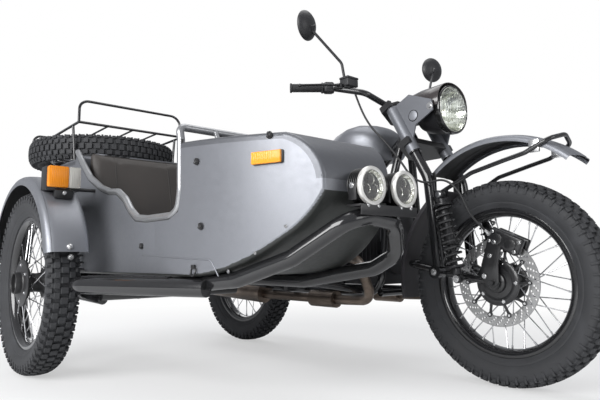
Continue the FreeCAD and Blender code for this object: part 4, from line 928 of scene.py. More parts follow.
def ear_fittings(paint, gloss):
    """Bosses and bolts of the headlight's two ears."""
    boss = lathed([(0, -1), (19.5, -1), (20, 1), (18.5, 3.4), (12, 5), (0, 5.6)], EAR_BOSS, (0, -1, 0), 36)
    rim = lathed([(19.8, -1), (23, -1), (23.4, 0.6), (22, 1.6), (19.8, 1.6), (19.8, -1)], EAR_BOSS, (0, -1, 0), 36)
    plate = satin_paint("boss paint", tint(paint, 1.5))
    dressed(both(boss), "ear_bosses", plate, "steering")
    dressed(both(rim), "ear_rims", gloss, "steering")
    steel = bright_steel("ear bolts", 0.68, 0.22)
    head = bolt(EAR_BOLT, (0, -1, 0), 8, 7)
    washer = lathed([(0, -1), (14, -1), (15, 0.5), (14, 2), (0, 2)], EAR_BOLT, (0, -1, 0), 32)
    pins = joined([head, washer])
    dressed(both(pins), "ear_bolts", steel, "steering")


class SIDECAR_OT_headlight(bpy.types.Operator):
    """Headlight bowl, bezel, reflector and glass under their cowl, and the fittings of its ears"""
    bl_idname = "sidecar.headlight"
    bl_label = "Headlight and cowl"

    def execute(self, context):
        satin = plain_finish("lamp bowl black", (0.016, 0.016, 0.018), 0.42, grain=700, bump=0.2)
        gloss = plain_finish("lamp bezel black", (0.012, 0.012, 0.012), 0.15, coat=0.5, spread=0.05, bump=0.02)
        headlight_lamp(satin, gloss)
        headlight_cowl()
        ear_fittings(context.scene.sidecar_paints.body, gloss)
        return {"FINISHED"}


def fog_lamps(black, steel):
    """Two finned fog lamps on a shelf at the nose."""
    ring = plain_finish("silver lamp ring", (0.75, 0.74, 0.71), 0.3, metallic=0.6, spread=0.04, bump=0.03)
    chrome = reflector_finish("fog reflector", 130.0)
    glass = clear_glass("fog lamp glass")
    body, rings, dishes, panes, bolts = [], [], [], [], []
    for y in (-727, -594):
        face = (1585, y, 623)
        body.append(lathed([(0, -57), (30, -57), (38, -54), (40, -48), (44, -46), (45, -16), (44, -12), (0, -12)],
                           face, (1, 0, 0), 40))
        for number in range(5):
            body.append(lathed([(40, -50 + 7 * number), (49, -50 + 7 * number), (49.5, -49 + 7 * number),
                                (49, -47.5 + 7 * number), (40, -47.5 + 7 * number)], face, (1, 0, 0), 40))
        rings.append(lathed([(40, -14), (50, -14), (52, -11), (52, -5), (50.5, -1.5), (47, 0), (43.5, 0),
                             (41, -2.5), (40.5, -8), (40, -14)], face, (1, 0, 0), 48))
        dish = lathed([(41, -4), (36, -12), (26, -20), (12, -25), (0, -26)], face, (1, 0, 0), 48)
        dishes.append(modified(dish, "SOLIDIFY", thickness=MM, offset=-1))
        for step in range(3):
            angle = math.radians(90 + 120 * step)
            centre = (1568, y + 17 * math.cos(angle), 623 + 17 * math.sin(angle))
            dishes.append(lathed([(13, 6), (9, 0), (4, -5), (0, -6)], centre, (1, 0, 0), 20))
        panes.append(lathed([(0, 0.6), (20, 0), (41.5, -2.4), (41.5, -4.2), (20, -2), (0, -1.4)],
                            face, (1, 0, 0), 48))
        for side in (-1, 1):
            body.append(bevelled(block((1556, y + side * 50, 606), (26, 5, 44)), 1.5))
            bolts.append(bolt((1556, y + side * 52.5, 622), (0, side, 0), 5.5, 6))
            bolts.append(bolt((1580, y + side * 20, 570), (1, 0, 0), 4.5, 5))
    shelf = bevelled(block((1558, -660, 571), (50, 232, 6)), 1.2)
    lip = bevelled(block((1581, -660, 560), (5, 226, 28)), 1.2)
    casting = joined(body + [shelf, lip])
    dressed(casting, "fog_lamp_housings", black, "chassis", ["sidecar_lamps"])
    dressed(joined(rings), "fog_lamp_rings", ring, "chassis")
    dressed(joined(dishes), "fog_lamp_reflectors", chrome, "chassis")
    dressed(joined(panes), "fog_lamp_glasses", glass, "chassis")
    dressed(joined(bolts), "fog_lamp_bolts", steel, "chassis")


def fender_lamp(black, steel):
    """Amber and clear lamp on the sidecar's fender."""
    amber = clear_glass("amber moulded lens", (1.0, 0.33, 0.02), ribs=50.0, roughness=0.12, transmission=0.35)
    clear = clear_glass("clear moulded lens", (0.86, 0.84, 0.78), ribs=50.0, roughness=0.08, transmission=0.6)
    base = bevelled(block((448, -1148, 728), (66, 118, 88)), 5, 3)
    narrowed(base, lambda f: f.normal.x > 0.9, (1, 0.94, 0.9))
    tongue = bevelled(block((470, -1146, 676), (30, 64, 34), (0, 24, 0)), 4, 2)
    dressed(joined([base, tongue]), "fender_lamp_base", black, "chassis")
    for name, low, high, finish in (("amber", -1205, -1136, amber), ("clear", -1135, -1093, clear)):
        lens = bevelled(block((486, (low + high) / 2, 732), (34, high - low, 76)), 6, 3)
        narrowed(lens, lambda f: f.normal.x > 0.9, (1, 0.9, 0.84))
        dressed(lens, "fender_lamp_" + name, finish, "chassis")
    dressed(bolt((487, -1146, 676), (1, 0, -0.3), 5, 6), "fender_lamp_screw", steel, "chassis")


def side_reflector(black):
    """Amber reflector on the outer side of the nose."""
    x, y = 1372, hull_y(1372)
    turn = (0, 0, math.degrees(math.atan2(hull_y(1382) - hull_y(1362), 20)))
    plate = bevelled(block((x, y - 3, 706), (96, 8, 36), turn), 2.5, 2)
    dressed(plate, "side_reflector_base", black, "chassis")
    amber_plate = bevelled(block((x, y - 9, 706), (94, 10, 34), turn), 3, 2)
    amber = clear_glass("amber reflector", (1.0, 0.38, 0.03), ribs=160.0, roughness=0.2, transmission=0.2)
    dressed(amber_plate, "side_reflector", amber, "chassis")



def tail_lamp(black):
    """Tail lamp and bare plate."""
    red = clear_glass("red tail lens", (0.75, 0.02, 0.02), ribs=60.0, roughness=0.12, transmission=0.3)
    tail = bevelled(block((-335, 0, 597), (98, 92, 70)), 8, 3)
    holder = bevelled(block((-366, 0, 547), (34, 58, 30)), 3)
    dressed(joined([tail, holder]), "tail_lamp_body", black, "chassis", ["rear_lamp"])
    dressed(bevelled(block((-383, 0, 597), (8, 80, 56)), 3, 2), "tail_lamp_lens", red, "chassis")
    plate = bevelled(block((-385.4, 0, 475), (3, 190, 150)), 1.2)
    dressed(plate, "bare_plate", plain_finish("blank plate", (0.72, 0.72, 0.7), 0.4, spread=0.04), "chassis")


class SIDECAR_OT_lamps(bpy.types.Operator):
    """Fog lamps, fender lamp, side reflector and tail lamp"""
    bl_idname = "sidecar.lamps"
    bl_label = "Small lamps"

    def execute(self, context):
        black = plain_finish("fog lamp casting", (0.014, 0.014, 0.015), 0.35, bump=0.15)
        steel = bright_steel("lamp bolts", 0.65, 0.25)
        fog_lamps(black, steel)
        fender_lamp(black, steel)
        side_reflector(black)
        tail_lamp(black)
        return {"FINISHED"}


# ---------------------------------------------------------------- suspension and brake

def strut(top, foot, coil=28.0, wire=4.6, turns=9):
    """A spring unit between two pins: returns its coil and the rest of it."""
    head, heel = Vector(top), Vector(foot)
    run = heel - head
    unit = run.normalized()
    low, high = 44, run.length - 46  # where the coil starts and ends
    clear()
    bpy.ops.mesh.primitive_circle_add(vertices=8, radius=wire * MM, location=(coil * MM, 0, 0),
                                      rotation=(math.radians(90), 0, 0))
    spring = settled(bpy.context.object)
    pitch = (high - low) / turns
    modified(spring, "SCREW", angle=2 * math.pi, screw_offset=pitch * MM, iterations=turns, steps=20,
             render_steps=20, axis="Z", use_normal_calculate=True)
    place = Matrix.Translation(at(*(head + unit * low))) @ unit.to_track_quat("Z", "Y").to_matrix().to_4x4()
    spring.data.transform(place)
    spring.data.update()
    outward(spring)

    def along(distance):
        return tuple(head + unit * distance)

    reach = run.length
    body = [rod(along(first), along(last), radius, vertices) for first, last, radius, vertices in (
        (16, 40, 17, 24), (34, 43, 33, 32), (40, reach * 0.6, 19.5, 24), (reach * 0.58, reach - 16, 9, 20),
        (reach - 46, reach - 38, 33, 32), (reach - 40, reach - 14, 16, 24))]
    eye = [(7.4, -12), (14, -12), (15, -10), (15, 10), (14, 12), (7.4, 12), (7.4, -12)]
    body += [lathed(eye, end, (0, 1, 0), 24) for end in (top, foot)]
    return spring, joined([bevelled(piece, 1.2, 2, 50) for piece in body])


class SIDECAR_OT_suspension(bpy.types.Operator):
    """Coil-over units of the fork, swing arm and sidecar wheel"""
    bl_idname = "sidecar.suspension"
    bl_label = "Spring units"

    def execute(self, context):
        coil = plain_finish("spring black", (0.02, 0.02, 0.021), 0.22, coat=0.4, spread=0.1, bump=0.03)
        tube_black = plain_finish("damper black", (0.03, 0.03, 0.032), 0.35, metallic=0.4, bump=0.08)
        for name, top, foot, node, body, mirror in (
                ("fork", (1376, -134, 658), (1436, -134, 362), "fork_shocks", "steering", True),
                ("rear", (80, -126, 715), (20, -126, 366), "rear_shocks", "chassis", True),
                ("sidecar", (150, -1012, 690), (260, -1012, 352), "sidecar_shock", "chassis", False)):
            spring, damper = strut(top, foot)
            if mirror:
                spring, damper = both(spring), both(damper)
            dressed(spring, name + "_coils", coil, body, [node])
            dressed(damper, name + "_dampers", tube_black, body)
        return {"FINISHED"}


def calliper(black, steel):
    """The calliper's two halves and their bracket, leaning with the fork."""
    turn = (0, 24, 0)
    spin = Matrix.Rotation(math.radians(24), 3, "Y")

    def near(x, y, z):
        return tuple(Vector((1588, -58, 487)) + spin @ Vector((x, y, z)))

    pieces = []
    for y, wide in ((-22, 24), (19, 18)):
        half = bevelled(block(near(0, y, 0), (118, wide, 58), turn), 7, 3)
        narrowed(half, lambda f: (f.normal @ spin.transposed().inverted()).z < -0.5, (0.8, 1, 1))
        pieces.append(half)
    for x in (-28, 24):
        pieces.append(rod(near(x, -37, -4), near(x, -30, -4), 19, 32))
        pieces.append(rod(near(x, 24, -4), near(x, 29, -4), 17, 32))
    pieces.append(bevelled(block(near(-2, -2, 22), (40, 30, 12), turn), 3))
    bridge = joined([bevelled(p, 1.5, 2, 40) for p in pieces])
    bracket = lofted([[(1496, -88, 366), (1516, -88, 340), (1542, -88, 334), (1562, -88, 350)],
                      [(1500, -88, 410), (1520, -88, 408), (1544, -88, 410), (1562, -88, 416)],
                      [(1520, -88, 470), (1536, -88, 466), (1554, -88, 462), (1572, -88, 458)],
                      [(1530, -88, 512), (1546, -88, 508), (1562, -88, 500), (1578, -88, 492)]])
    modified(bracket, "SOLIDIFY", thickness=7 * MM, offset=0)
    bevelled(bracket, 1.2, 2, 50)
    dressed(joined([bridge, bracket]), "calliper_body", black, "steering", ["front_calliper"])
    heads = [bolt(near(x, -38, z), (0, -1, 0), 5, 6) for x, z in ((-50, 16), (50, 16), (-50, -18), (46, -18))]
    heads += [bolt((x, -94, z), (0, -1, 0), 6, 6) for x, z in ((1512, 372), (1534, 440), (1552, 486))]
    dressed(joined(heads), "calliper_bolts", steel, "steering")


def fork_pins(steel):
    """Bolts on the pins of the spring units and the link."""
    pins = [bolt((x, side * y, z), (0, side, 0), 8.5, 6.5) for side in (-1, 1)
            for x, y, z in ((1376, 147.5, 658), (1436, 147.5, 362), (1336, 133.5, 384))]
    dressed(joined(pins), "fork_pin_bolts", steel, "steering")


def drilled_ring():
    """The disc's ring with its rows of holes."""
    ring = lathed([(112, -60.4), (112.6, -60.6), (147, -60.6), (147.5, -60.2), (147.5, -56), (147, -55.6),
                   (112.6, -55.6), (112, -56), (112, -60.4)], FRONT, steps=96)
    drills = []
    for number, radius in enumerate((119, 126, 133, 140)):
        drill = rod((FRONT[0] + radius, -66, 350), (FRONT[0] + radius, -50, 350), 3.9, 10)
        drills.append(ringed(settled_turn(drill, number * 3), 30, FRONT))
    drill = joined(drills)
    modified(ring, "BOOLEAN", operation="DIFFERENCE", solver="EXACT", object=drill)
    bpy.data.objects.remove(drill)
    ground = disc_finish("ground disc steel", (0.42, 0.42, 0.42), at(*FRONT), 0.09)
    dressed(ring, "drilled_disc", ground, "front_wheel", ["front_brake_disc"], 30)


def disc_carrier(black, steel):
    """The disc's spider, cup, bobbins and studs."""
    arm = joined([rod((FRONT[0] + 70, -58, 346), (FRONT[0] + 112, -58, 352), 4.6, 10),
                  rod((FRONT[0] + 113.5, -62.6, 352), (FRONT[0] + 113.5, -53.6, 352), 8, 16)])
    carrier = lathed([(52, -62), (60, -63.5), (74, -63), (78, -60), (78, -56), (74, -54), (52, -54), (52, -62)],
                     FRONT, steps=64)
    cup = lathed([(16, -76), (30, -76), (33, -74), (35, -64), (54, -62), (54, -50), (50, -46), (16, -46),
                  (16, -76)], FRONT, steps=48)
    dressed(joined([ringed(arm, 10, FRONT), carrier, cup]), "disc_carrier", black, "front_wheel")
    bobbin = bevelled(rod((FRONT[0] + 113.5, -63.2, 352), (FRONT[0] + 113.5, -53, 352), 4.4, 12), 0.6, 1)
    studs = bolt((FRONT[0] + 65, -62.8, 350), (0, -1, 0), 4.6, 2.2)
    dressed(joined([ringed(bobbin, 10, FRONT), ringed(studs, 5, FRONT)]), "disc_bobbins", steel, "front_wheel")


class SIDECAR_OT_brake(bpy.types.Operator):
    """Front calliper on its bracket, the drilled disc and the pin bolts of the fork"""
    bl_idname = "sidecar.brake"
    bl_label = "Front brake"

    def execute(self, context):
        black = plain_finish("calliper black", (0.014, 0.014, 0.015), 0.3, coat=0.2, bump=0.1)
        steel = bright_steel("brake bolts", 0.68, 0.22)
        calliper(black, steel)
        fork_pins(steel)
        drilled_ring()
        disc_carrier(black, steel)
        return {"FINISHED"}


# ---------------------------------------------------------------- controls

BAR_END, GRIP_FOOT = Vector((902, -430, 1104)), Vector((1000, -302, 1106))
GRIP_RUN = (GRIP_FOOT - BAR_END).normalized()
LEVER_PIVOT = GRIP_FOOT + Vector((26, 12, 2))
GRIP_YAW = math.degrees(math.atan2(GRIP_RUN.y, GRIP_RUN.x))
HOSE = ((1051, -234, 1112), (1060, -205, 1030), (1092, -180, 950), (1148, -160, 885), (1215, -158, 805),
        (1268, -158, 730), (1332, -157, 700), (1405, -152, 714), (1462, -146, 662), (1484, -132, 588),
        (1512, -118, 548), (1532, -86, 512))


def bent_bar(gloss):
    """The bent handlebar."""
    half = [tuple(BAR_END), tuple(GRIP_FOOT), (1104, -222, 1078), (1112, -110, 1048)]
    bar = tube(half + [(x, -y, z) for x, y, z in reversed(half)], 12, 45, 6)
    dressed(bar, "bent_handlebar", gloss, "steering", ["handlebar"])


def ribbed_grips(soft):
    """Grips with fine ribs and end plugs."""
    ribs = [(12.2, -4), (17.5, -4), (19, -2.5), (19, 2), (17, 4)]
    for number in range(22):
        start = 6 + 5.1 * number
        ribs += [(15.6, start), (15.6, start + 1.2), (16.9, start + 1.9), (16.9, start + 4.2)]
    ribs += [(16, 119), (20.5, 120.5), (22, 122.5), (22, 125), (20, 126.5), (12.2, 126.5), (12.2, -4)]
    grip = lathed(ribs, BAR_END, GRIP_RUN, 28)
    end_plug = lathed([(0, -3.9), (9, -3.9), (11.5, -3.4), (12, -2.5), (12, 2), (0, 2)], BAR_END, GRIP_RUN, 24)
    grips = joined([grip, end_plug])
    dressed(both(grips), "ribbed_grips", soft, "steering")


def switch_housings(plastic):
    """Switch housings beside the grips."""
    def along(run, out=0.0, up=0.0):
        side = Vector((-GRIP_RUN.y, GRIP_RUN.x, 0)).normalized()
        return BAR_END + GRIP_RUN * run + side * -out + Vector((0, 0, up))

    housing = [bevelled(block(along(149), (36, 44, 40), (0, 0, GRIP_YAW)), 6, 3),
               lathed([(12, -21), (19, -21), (21.5, -18.5), (21.5, 18.5), (19, 21), (12, 21)], along(149),
                      GRIP_RUN, 28),
               bevelled(block(along(149, -12, 20), (20, 14, 8), (0, 0, GRIP_YAW)), 2),
               rod(along(140, -24, 4), along(140, -28, 4), 5, 16),
               rod(along(156, -24, -6), along(156, -27, -6), 4, 16)]
    housings = joined(housing)
    dressed(both(housings), "switch_housings", plastic, "steering")


def lever_blades(cast):
    """Levers and their perches."""
    blade = tube([tuple(GRIP_FOOT + Vector((12, 8, 0))), tuple(LEVER_PIVOT + Vector((22, -10, 0))),
                  tuple(BAR_END + GRIP_RUN * 90 + Vector((62, -12, -4))), tuple(BAR_END + Vector((58, -4, -4)))],
                 6.2, 24, 4)
    for vertex in blade.data.vertices:
        vertex.co.z = at(0, 0, 1103).z + (vertex.co.z - at(0, 0, 1103).z) * 0.75
    tip = ball(BAR_END + Vector((58, -4, -4)), (8, 8, 7), 16, 10)
    perch = bevelled(block(LEVER_PIVOT + Vector((-2, -4, -1)), (44, 26, 22), (0, 0, GRIP_YAW - 20)), 4, 2)
    levers = joined([blade, tip, perch])
    dressed(both(levers), "lever_blades", cast, "steering")


def fluid_reservoir(plastic, steel):
    """The brake fluid reservoir, and the levers' pins."""
    box = bevelled(block((1046, -251, 1123), (46, 60, 30)), 4, 3)
    lid = bevelled(block((1046, -251, 1142), (48, 62, 9)), 2.5, 2)
    neck = rod((1040, -262, 1092), (1044, -256, 1112), 15, 24)
    dressed(joined([box, lid, neck]), "brake_fluid_reservoir", plastic, "steering")
    screws = [bolt((1046 + x, -251 + y, 1145.5), (0, 0, 1), 3.2, 2.2, washer=False)
              for x in (-18, 18) for y in (-24, 24)]
    pin = bolt(LEVER_PIVOT + Vector((2, -0.1, 10)), (0, 0, 1), 4.5, 4)
    dressed(joined(screws + [pin, mirrored(pin)]), "control_bolts", steel, "steering")


class SIDECAR_OT_handlebar(bpy.types.Operator):
    """Handlebar with ribbed grips, switch housings, levers and the brake fluid reservoir"""
    bl_idname = "sidecar.handlebar"
    bl_label = "Handlebar and controls"

    def execute(self, context):
        gloss = plain_finish("handlebar black", (0.013, 0.013, 0.014), 0.16, coat=0.5, spread=0.06, bump=0.02)
        soft = plain_finish("grip rubber", (0.028, 0.028, 0.03), 0.72, grain=1200, bump=0.4)
        plastic = plain_finish("switch plastic", (0.026, 0.026, 0.028), 0.5, grain=1000, bump=0.25)
        cast = plain_finish("lever black", (0.018, 0.018, 0.019), 0.28, metallic=0.3, coat=0.2, bump=0.05)
        steel = bright_steel("control screws", 0.62, 0.25)
        bent_bar(gloss)
        ribbed_grips(soft)
        switch_housings(plastic)
        lever_blades(cast)
        fluid_reservoir(plastic, steel)
        return {"FINISHED"}


class SIDECAR_OT_mirrors(bpy.types.Operator):
    """Round mirrors on bent stalks"""
    bl_idname = "sidecar.mirrors"
    bl_label = "Mirrors"

    def execute(self, context):
        shell = plain_finish("mirror shell plastic", (0.02, 0.02, 0.022), 0.42, grain=900, bump=0.2)
        silver = plain_finish("mirror silver", (0.82, 0.83, 0.84), 0.04, metallic=1.0, spread=0.01, bump=0.0)
        middle = Vector((977, -408, 1343))
        back = Vector((-1, -0.25, 0.06)).normalized()
        rim = middle + back * 8
        bowl = lathed([(0, 30), (14, 29.4), (30, 26.5), (44, 20.5), (53, 13.5), (57.6, 8), (59, 4.5), (59, 1.2),
                       (58, 0), (56.4, 0), (55.8, 2.6), (0, 2.6)], rim, -back, 56)
        socket = bevelled(rod(middle + Vector((12, 14, -20)), middle + Vector((20, 9, -2)), 8, 20, 15), 1.5, 2, 50)
        stalk = tube([(1046, -268, 1106), (1042, -286, 1200), tuple(middle + Vector((12, 14, -20)))], 5.5, 30, 5)
        nut = bolt((1046, -268, 1104), (0, 0, 1), 10, 13, washer=False)
        boot = lathed([(6, 0), (11, 0), (12, 3), (9, 16), (6.2, 22), (5.6, 22)], (1046, -268, 1116),
                      (-0.04, -0.19, 1), 20)
        mirror = joined([bowl, socket, stalk, nut, boot])
        dressed(both(mirror), "round_mirrors", shell, "steering", ["mirrors"], 40)
        glass = lathed([(0, 1.2), (55.4, 1.2), (55.4, 2.4), (0, 2.4)], rim, -back, 56)
        dressed(both(glass), "mirror_glasses", silver, "steering")
        return {"FINISHED"}


class SIDECAR_OT_brake_hose(bpy.types.Operator):
    """Hose from the reservoir down to the front calliper, with its two fittings"""
    bl_idname = "sidecar.brake_hose"
    bl_label = "Brake hose"

    def execute(self, context):
        black = plain_finish("brake hose rubber", (0.02, 0.02, 0.021), 0.5, grain=1400, bump=0.3)
        steel = bright_steel("hose fittings", 0.55, 0.28)
        clear()
        bpy.ops.curve.primitive_nurbs_path_add(location=(0, 0, 0))
        hose = bpy.context.object
        curve = hose.data
        curve.splines.remove(curve.splines[0])
        line = curve.splines.new("NURBS")
        line.points.add(len(HOSE) - 1)
        for point, place in zip(line.points, HOSE):
            point.co = (*at(*place), 1)
        line.order_u = 3
        line.use_endpoint_u = True
        curve.dimensions = "3D"
        curve.resolution_u = 12
        curve.bevel_depth = 4 * MM
        curve.bevel_resolution = 4
        curve.use_fill_caps = True
        curve.materials.append(black)
        hose.name = curve.name = "brake_hose_line"
        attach(hose, "steering")
        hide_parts("brake_hose")
        fittings = []
        for first, second in ((HOSE[0], HOSE[1]), (HOSE[-1], HOSE[-2])):
            start, run = Vector(first), (Vector(second) - Vector(first)).normalized()
            fittings.append(lathed([(4.1, -3), (6.5, -3), (6.5, 12), (5.4, 14), (5.4, 22), (4.1, 23)], start,
                                   run, 20))
            fittings.append(rod(start, start + run * 7, 8, 6))
        dressed(joined(fittings), "hose_fittings", steel, "steering")
        return {"FINISHED"}


# ---------------------------------------------------------------- tank and seats

def pod(stations, y=0.0, power=3.0, around=40):
    """A closed rounded body through (distance, half width, floor, top) stations along the motorcycle."""
    rows = []
    for x, half, floor, top in stations:
        middle, rise = (floor + top) / 2, (top - floor) / 2
        row = []
        for number in range(around + 1):
            angle = 2 * math.pi * (number % around) / around
            c, s = math.cos(angle), math.sin(angle)
            row.append((x, y + half * math.copysign(abs(c) ** (2 / power), c),
                        middle + rise * math.copysign(abs(s) ** (2 / power), s)))
        rows.append(row)
    ends = [[(x, y, (floor + top) / 2)] * (around + 1) for x, _, floor, top in (stations[0], stations[-1])]
    return lofted([ends[0]] + rows + [ends[1]])


def wedge(foot, head, y_low, y_high):
    """A block whose foot and head are given as (back, front, height)."""
    clear()
    bpy.ops.mesh.primitive_cube_add(size=2, location=(0, 0, 0))
    obj = bpy.context.object
    for vertex in obj.data.vertices:
        back, front, height = head if vertex.co.z > 0 else foot
        vertex.co = at(front if vertex.co.x > 0 else back, y_high if vertex.co.y > 0 else y_low, height)
    return outward(obj)


def swollen(pad, most, voxel=6.0, pressure=4.0):
    """Fills a pad under its cover; no point moves further than a cap in millimetres."""
    modified(pad, "REMESH", mode="VOXEL", voxel_size=voxel * MM)
    start = [vertex.co.copy() for vertex in pad.data.vertices]
    only(pad)
    cover = pad.modifiers.new("Cover", "CLOTH")
    cover.settings.use_pressure = True
    cover.settings.uniform_pressure_force = pressure
    cover.settings.effector_weights.gravity = 0
    for number in range(1, 21):
        bpy.context.scene.frame_set(number)
    bpy.ops.object.modifier_apply(modifier=cover.name)
    bpy.context.scene.frame_set(1)
    for vertex, place in zip(pad.data.vertices, start):
        shift = vertex.co - place
        if shift.length > most * MM:
            vertex.co = place + shift * (most * MM / shift.length)
    return modified(pad, "SMOOTH", factor=0.5, iterations=2)


def hugging(pad, places):
    """Moves places in millimetres onto the surface of a pad."""
    found = []
    for place in places:
        spot = pad.closest_point_on_mesh(at(*place))[1]
        found.append(tuple((spot - ORIGIN) / MM))
    return found


def welted(pad, places, radius=2.6):
    """A sewn welt laid on a pad along a line."""
    line = []
    for first, second in zip(places, places[1:]):
        line += [tuple(Vector(first).lerp(Vector(second), share / 8)) for share in range(8)]
    return tube(hugging(pad, line + [places[-1]]), radius, 12, 2)


class SIDECAR_OT_tank(bpy.types.Operator):
    """Fuel tank with its cap"""
    bl_idname = "sidecar.tank"
    bl_label = "Fuel tank"

    def execute(self, context):
        grey = satin_paint("tank paint", context.scene.sidecar_paints.body)
        black = plain_finish("tank cap black", (0.02, 0.02, 0.021), 0.3, coat=0.3, bump=0.08)
        tank = pod(((704, 60, 846, 874), (708, 78, 841, 884), (730, 96, 839, 912), (780, 122, 838, 954),
                    (840, 141, 838, 984), (900, 150, 838, 1000), (950, 149, 838, 1003), (1000, 132, 838, 994),
                    (1036, 108, 840, 968), (1054, 86, 848, 938), (1060, 60, 862, 914)), power=2.8)
        dressed(tank, "tank_shell", grey, "chassis", ["fuel_tank"], 50)
        cap = lathed([(0, -12), (27, -12), (28, -9), (28, 2), (26.5, 6), (22, 9.4), (10, 10.4), (0, 10.6)],
                     (905, 0, 1002), (0, 0, 1), 40)
        dressed(cap, "tank_cap", black, "chassis")
        return {"FINISHED"}


def limits(node):
    """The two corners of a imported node's box, in millimetres."""
    return [(Vector(corner) - ORIGIN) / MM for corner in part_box(node)]


def cushion(vinyl):
    """The seat cushion; returns its welts."""
    low, high = limits("seat_cushion")
    back, front = low.x + 10, high.x - 10
    pad = wedge((back, front, low.z + 8), (back, front, high.z - 14), low.y + 12, high.y - 12)
    bevelled(pad, 24, 3)
    swollen(pad, 12)
    rim = [(high.x - 14, low.y + 16, high.z - 22), (high.x - 14, high.y - 16, high.z - 22)]
    seams = [welted(pad, rim)]
    for y in (-822, -608):
        seams.append(welted(pad, [(low.x + 30, y, high.z + 6), (high.x - 20, y, high.z + 6)], 2.2))
    dressed(pad, "seat_cushion_pad", vinyl, "chassis", ["seat_cushion"], 60)
    return seams


def backrest(vinyl):
    """The backrest; returns its welts."""
    low, high = limits("seat_back")
    seams = []
    pad = wedge((low.x + 4, high.x - 16, 488), (low.x + 36, low.x + 66, high.z - 8), low.y + 10, high.y - 10)
    bevelled(pad, 16, 3)
    swollen(pad, 8)
    for y in (-840, -590):
        seams.append(welted(pad, [(300, y, 560), (low.x + 74, y, high.z - 20)], 2.2))
    seams.append(welted(pad, [(low.x + 66, low.y + 16, high.z - 14), (low.x + 66, high.y - 16, high.z - 14)]))
    dressed(pad, "backrest_pad", vinyl, "chassis", ["seat_back"], 60)
    return seams


def saddle(vinyl, welt):
    """The rider's saddle with the welt round its edge."""
    pad = pod(((140, 60, 800, 850), (150, 92, 794, 860), (180, 112, 790, 866), (250, 120, 789, 869),
               (330, 120, 789, 864), (420, 116, 789, 850), (520, 108, 789, 831), (600, 100, 789, 826),
               (660, 88, 791, 825), (678, 66, 796, 822), (684, 44, 800, 818)), power=4.0)
    swollen(pad, 6)
    dressed(pad, "saddle_pad", vinyl, "chassis", ["rider_saddle"], 60)
    edge = [(x, -half, 812) for x, half in ((150, 100), (330, 126), (520, 114), (676, 70))]
    edge += [(x, -y, z) for x, y, z in reversed(edge)]
    dressed(welted(pad, edge + [edge[0]], 2.4), "saddle_welt", welt, "chassis", angle=60)


class SIDECAR_OT_seats(bpy.types.Operator):
    """Saddle, seat cushion and backrest, padded under vinyl with sewn welts"""
    bl_idname = "sidecar.seats"
    bl_label = "Saddle and sidecar seat"

    def execute(self, context):
        colour = context.scene.sidecar_paints.seat
        vinyl = leather("seat vinyl", colour)
        lighter = leather("cushion vinyl", tint(colour, 1.6))
        welt = leather("welt vinyl", tint(colour, 0.6), 900.0)
        seams = cushion(lighter)
        seams += backrest(vinyl)
        dressed(joined(seams), "seat_welts", welt, "chassis", angle=60)
        saddle(vinyl, welt)
        return {"FINISHED"}


# ---------------------------------------------------------------- body trims

TRIM = ((100, 904), (165, 847), (261, 772), (381, 718), (470, 694), (545, 687), (608, 655), (661, 608), (711, 580),
        (788, 572), (954, 572), (1000, 590), (1012, 649), (1008, 806))


def lobed(place, axis):
    """A three-lobed push stud."""
    spot, out = Vector(place), Vector(axis).normalized()
    side = out.orthogonal().normalized()
    pieces = [lathed([(0, -2), (10, -2), (11, 0), (10, 2.4), (5, 3.6), (0, 3.8)], spot, out, 24)]
    for number in range(3):
        turned = Matrix.Rotation(2 * math.pi * number / 3, 3, out) @ side
        pieces.append(ball(spot + turned * 5 + out * 3, (5, 5, 5), 12, 8))
    return joined(pieces)


def door_seal(seal):
    """The seal round the body's door dip."""
    line = []
    for number, (x, z) in enumerate(TRIM):
        before, after = TRIM[max(number - 1, 0)], TRIM[min(number + 1, len(TRIM) - 1)]
        along = Vector((after[0] - before[0], after[1] - before[1])).normalized()
        line.append((x + along.y * 12.5, -972, z - along.x * 12.5))
    dressed(tube(line, 4, 30, 3), "door_seal", seal, "chassis")


def body_studs(black):
    """Push studs and the tie ring."""
    studs = [lobed((x, hull_y(x) - 2, z), (0, -1, 0))
             for x, z in ((1108, 724), (1130, 531), (767, 481), (1376, 767))]
    clear()
    bpy.ops.mesh.primitive_torus_add(major_radius=13 * MM, minor_radius=2.6 * MM, major_segments=28,
                                     minor_segments=10, location=at(1099, hull_y(1099) - 3, 400),
                                     rotation=(math.radians(78), 0, 0))
    ring = settled(bpy.context.object)
    hanger = bevelled(block((1099, hull_y(1099) - 3, 414), (18, 6, 12)), 1.5)
    dressed(joined(studs + [ring, hanger]), "body_studs", black, "chassis")


def panel_bead(grey):
    """The raised bead along the body's lower edge."""
    bead = [(x, hull_y(x) + 0.4, 451 - (x - 769) * 0.0429) for x in (769, 860, 930, 1000, 1070, 1140)]
    bead += [(1172, hull_y(1172) + 0.4, 433), (1203, hull_y(1203) + 0.4, 388)]
    dressed(tube(bead, 2.2, 26, 2), "panel_bead", grey, "chassis", angle=60)


def step_ribs(black):
    """Ribs on the step, cut to its slanted end."""
    ribs = []
    for number in range(9):
        y = -990 - 15 * number
        reach = 1000 if y > -1004 else 1000 + (y + 1004) / 126 * 360
        if reach - 646 > 20:
            ribs.append(rod((644, y, 383.4), (reach - 6, y, 383.4), 2.4, 8))
    dressed(joined(ribs), "step_ribs", black, "chassis")


def body_bolts(steel):
    """Bolts of the pan and the arm."""
    bolts = [bolt((x, hull_y(x), z), (0, -1, 0), 4, 3.5) for x, z in ((1240, 402), (1330, 452), (1420, 520))]
    bolts += [bolt((590, SIDE[1], 446), (1, 0, -0.2), 7, 7)]
    dressed(joined(bolts), "body_bolts", steel, "chassis")


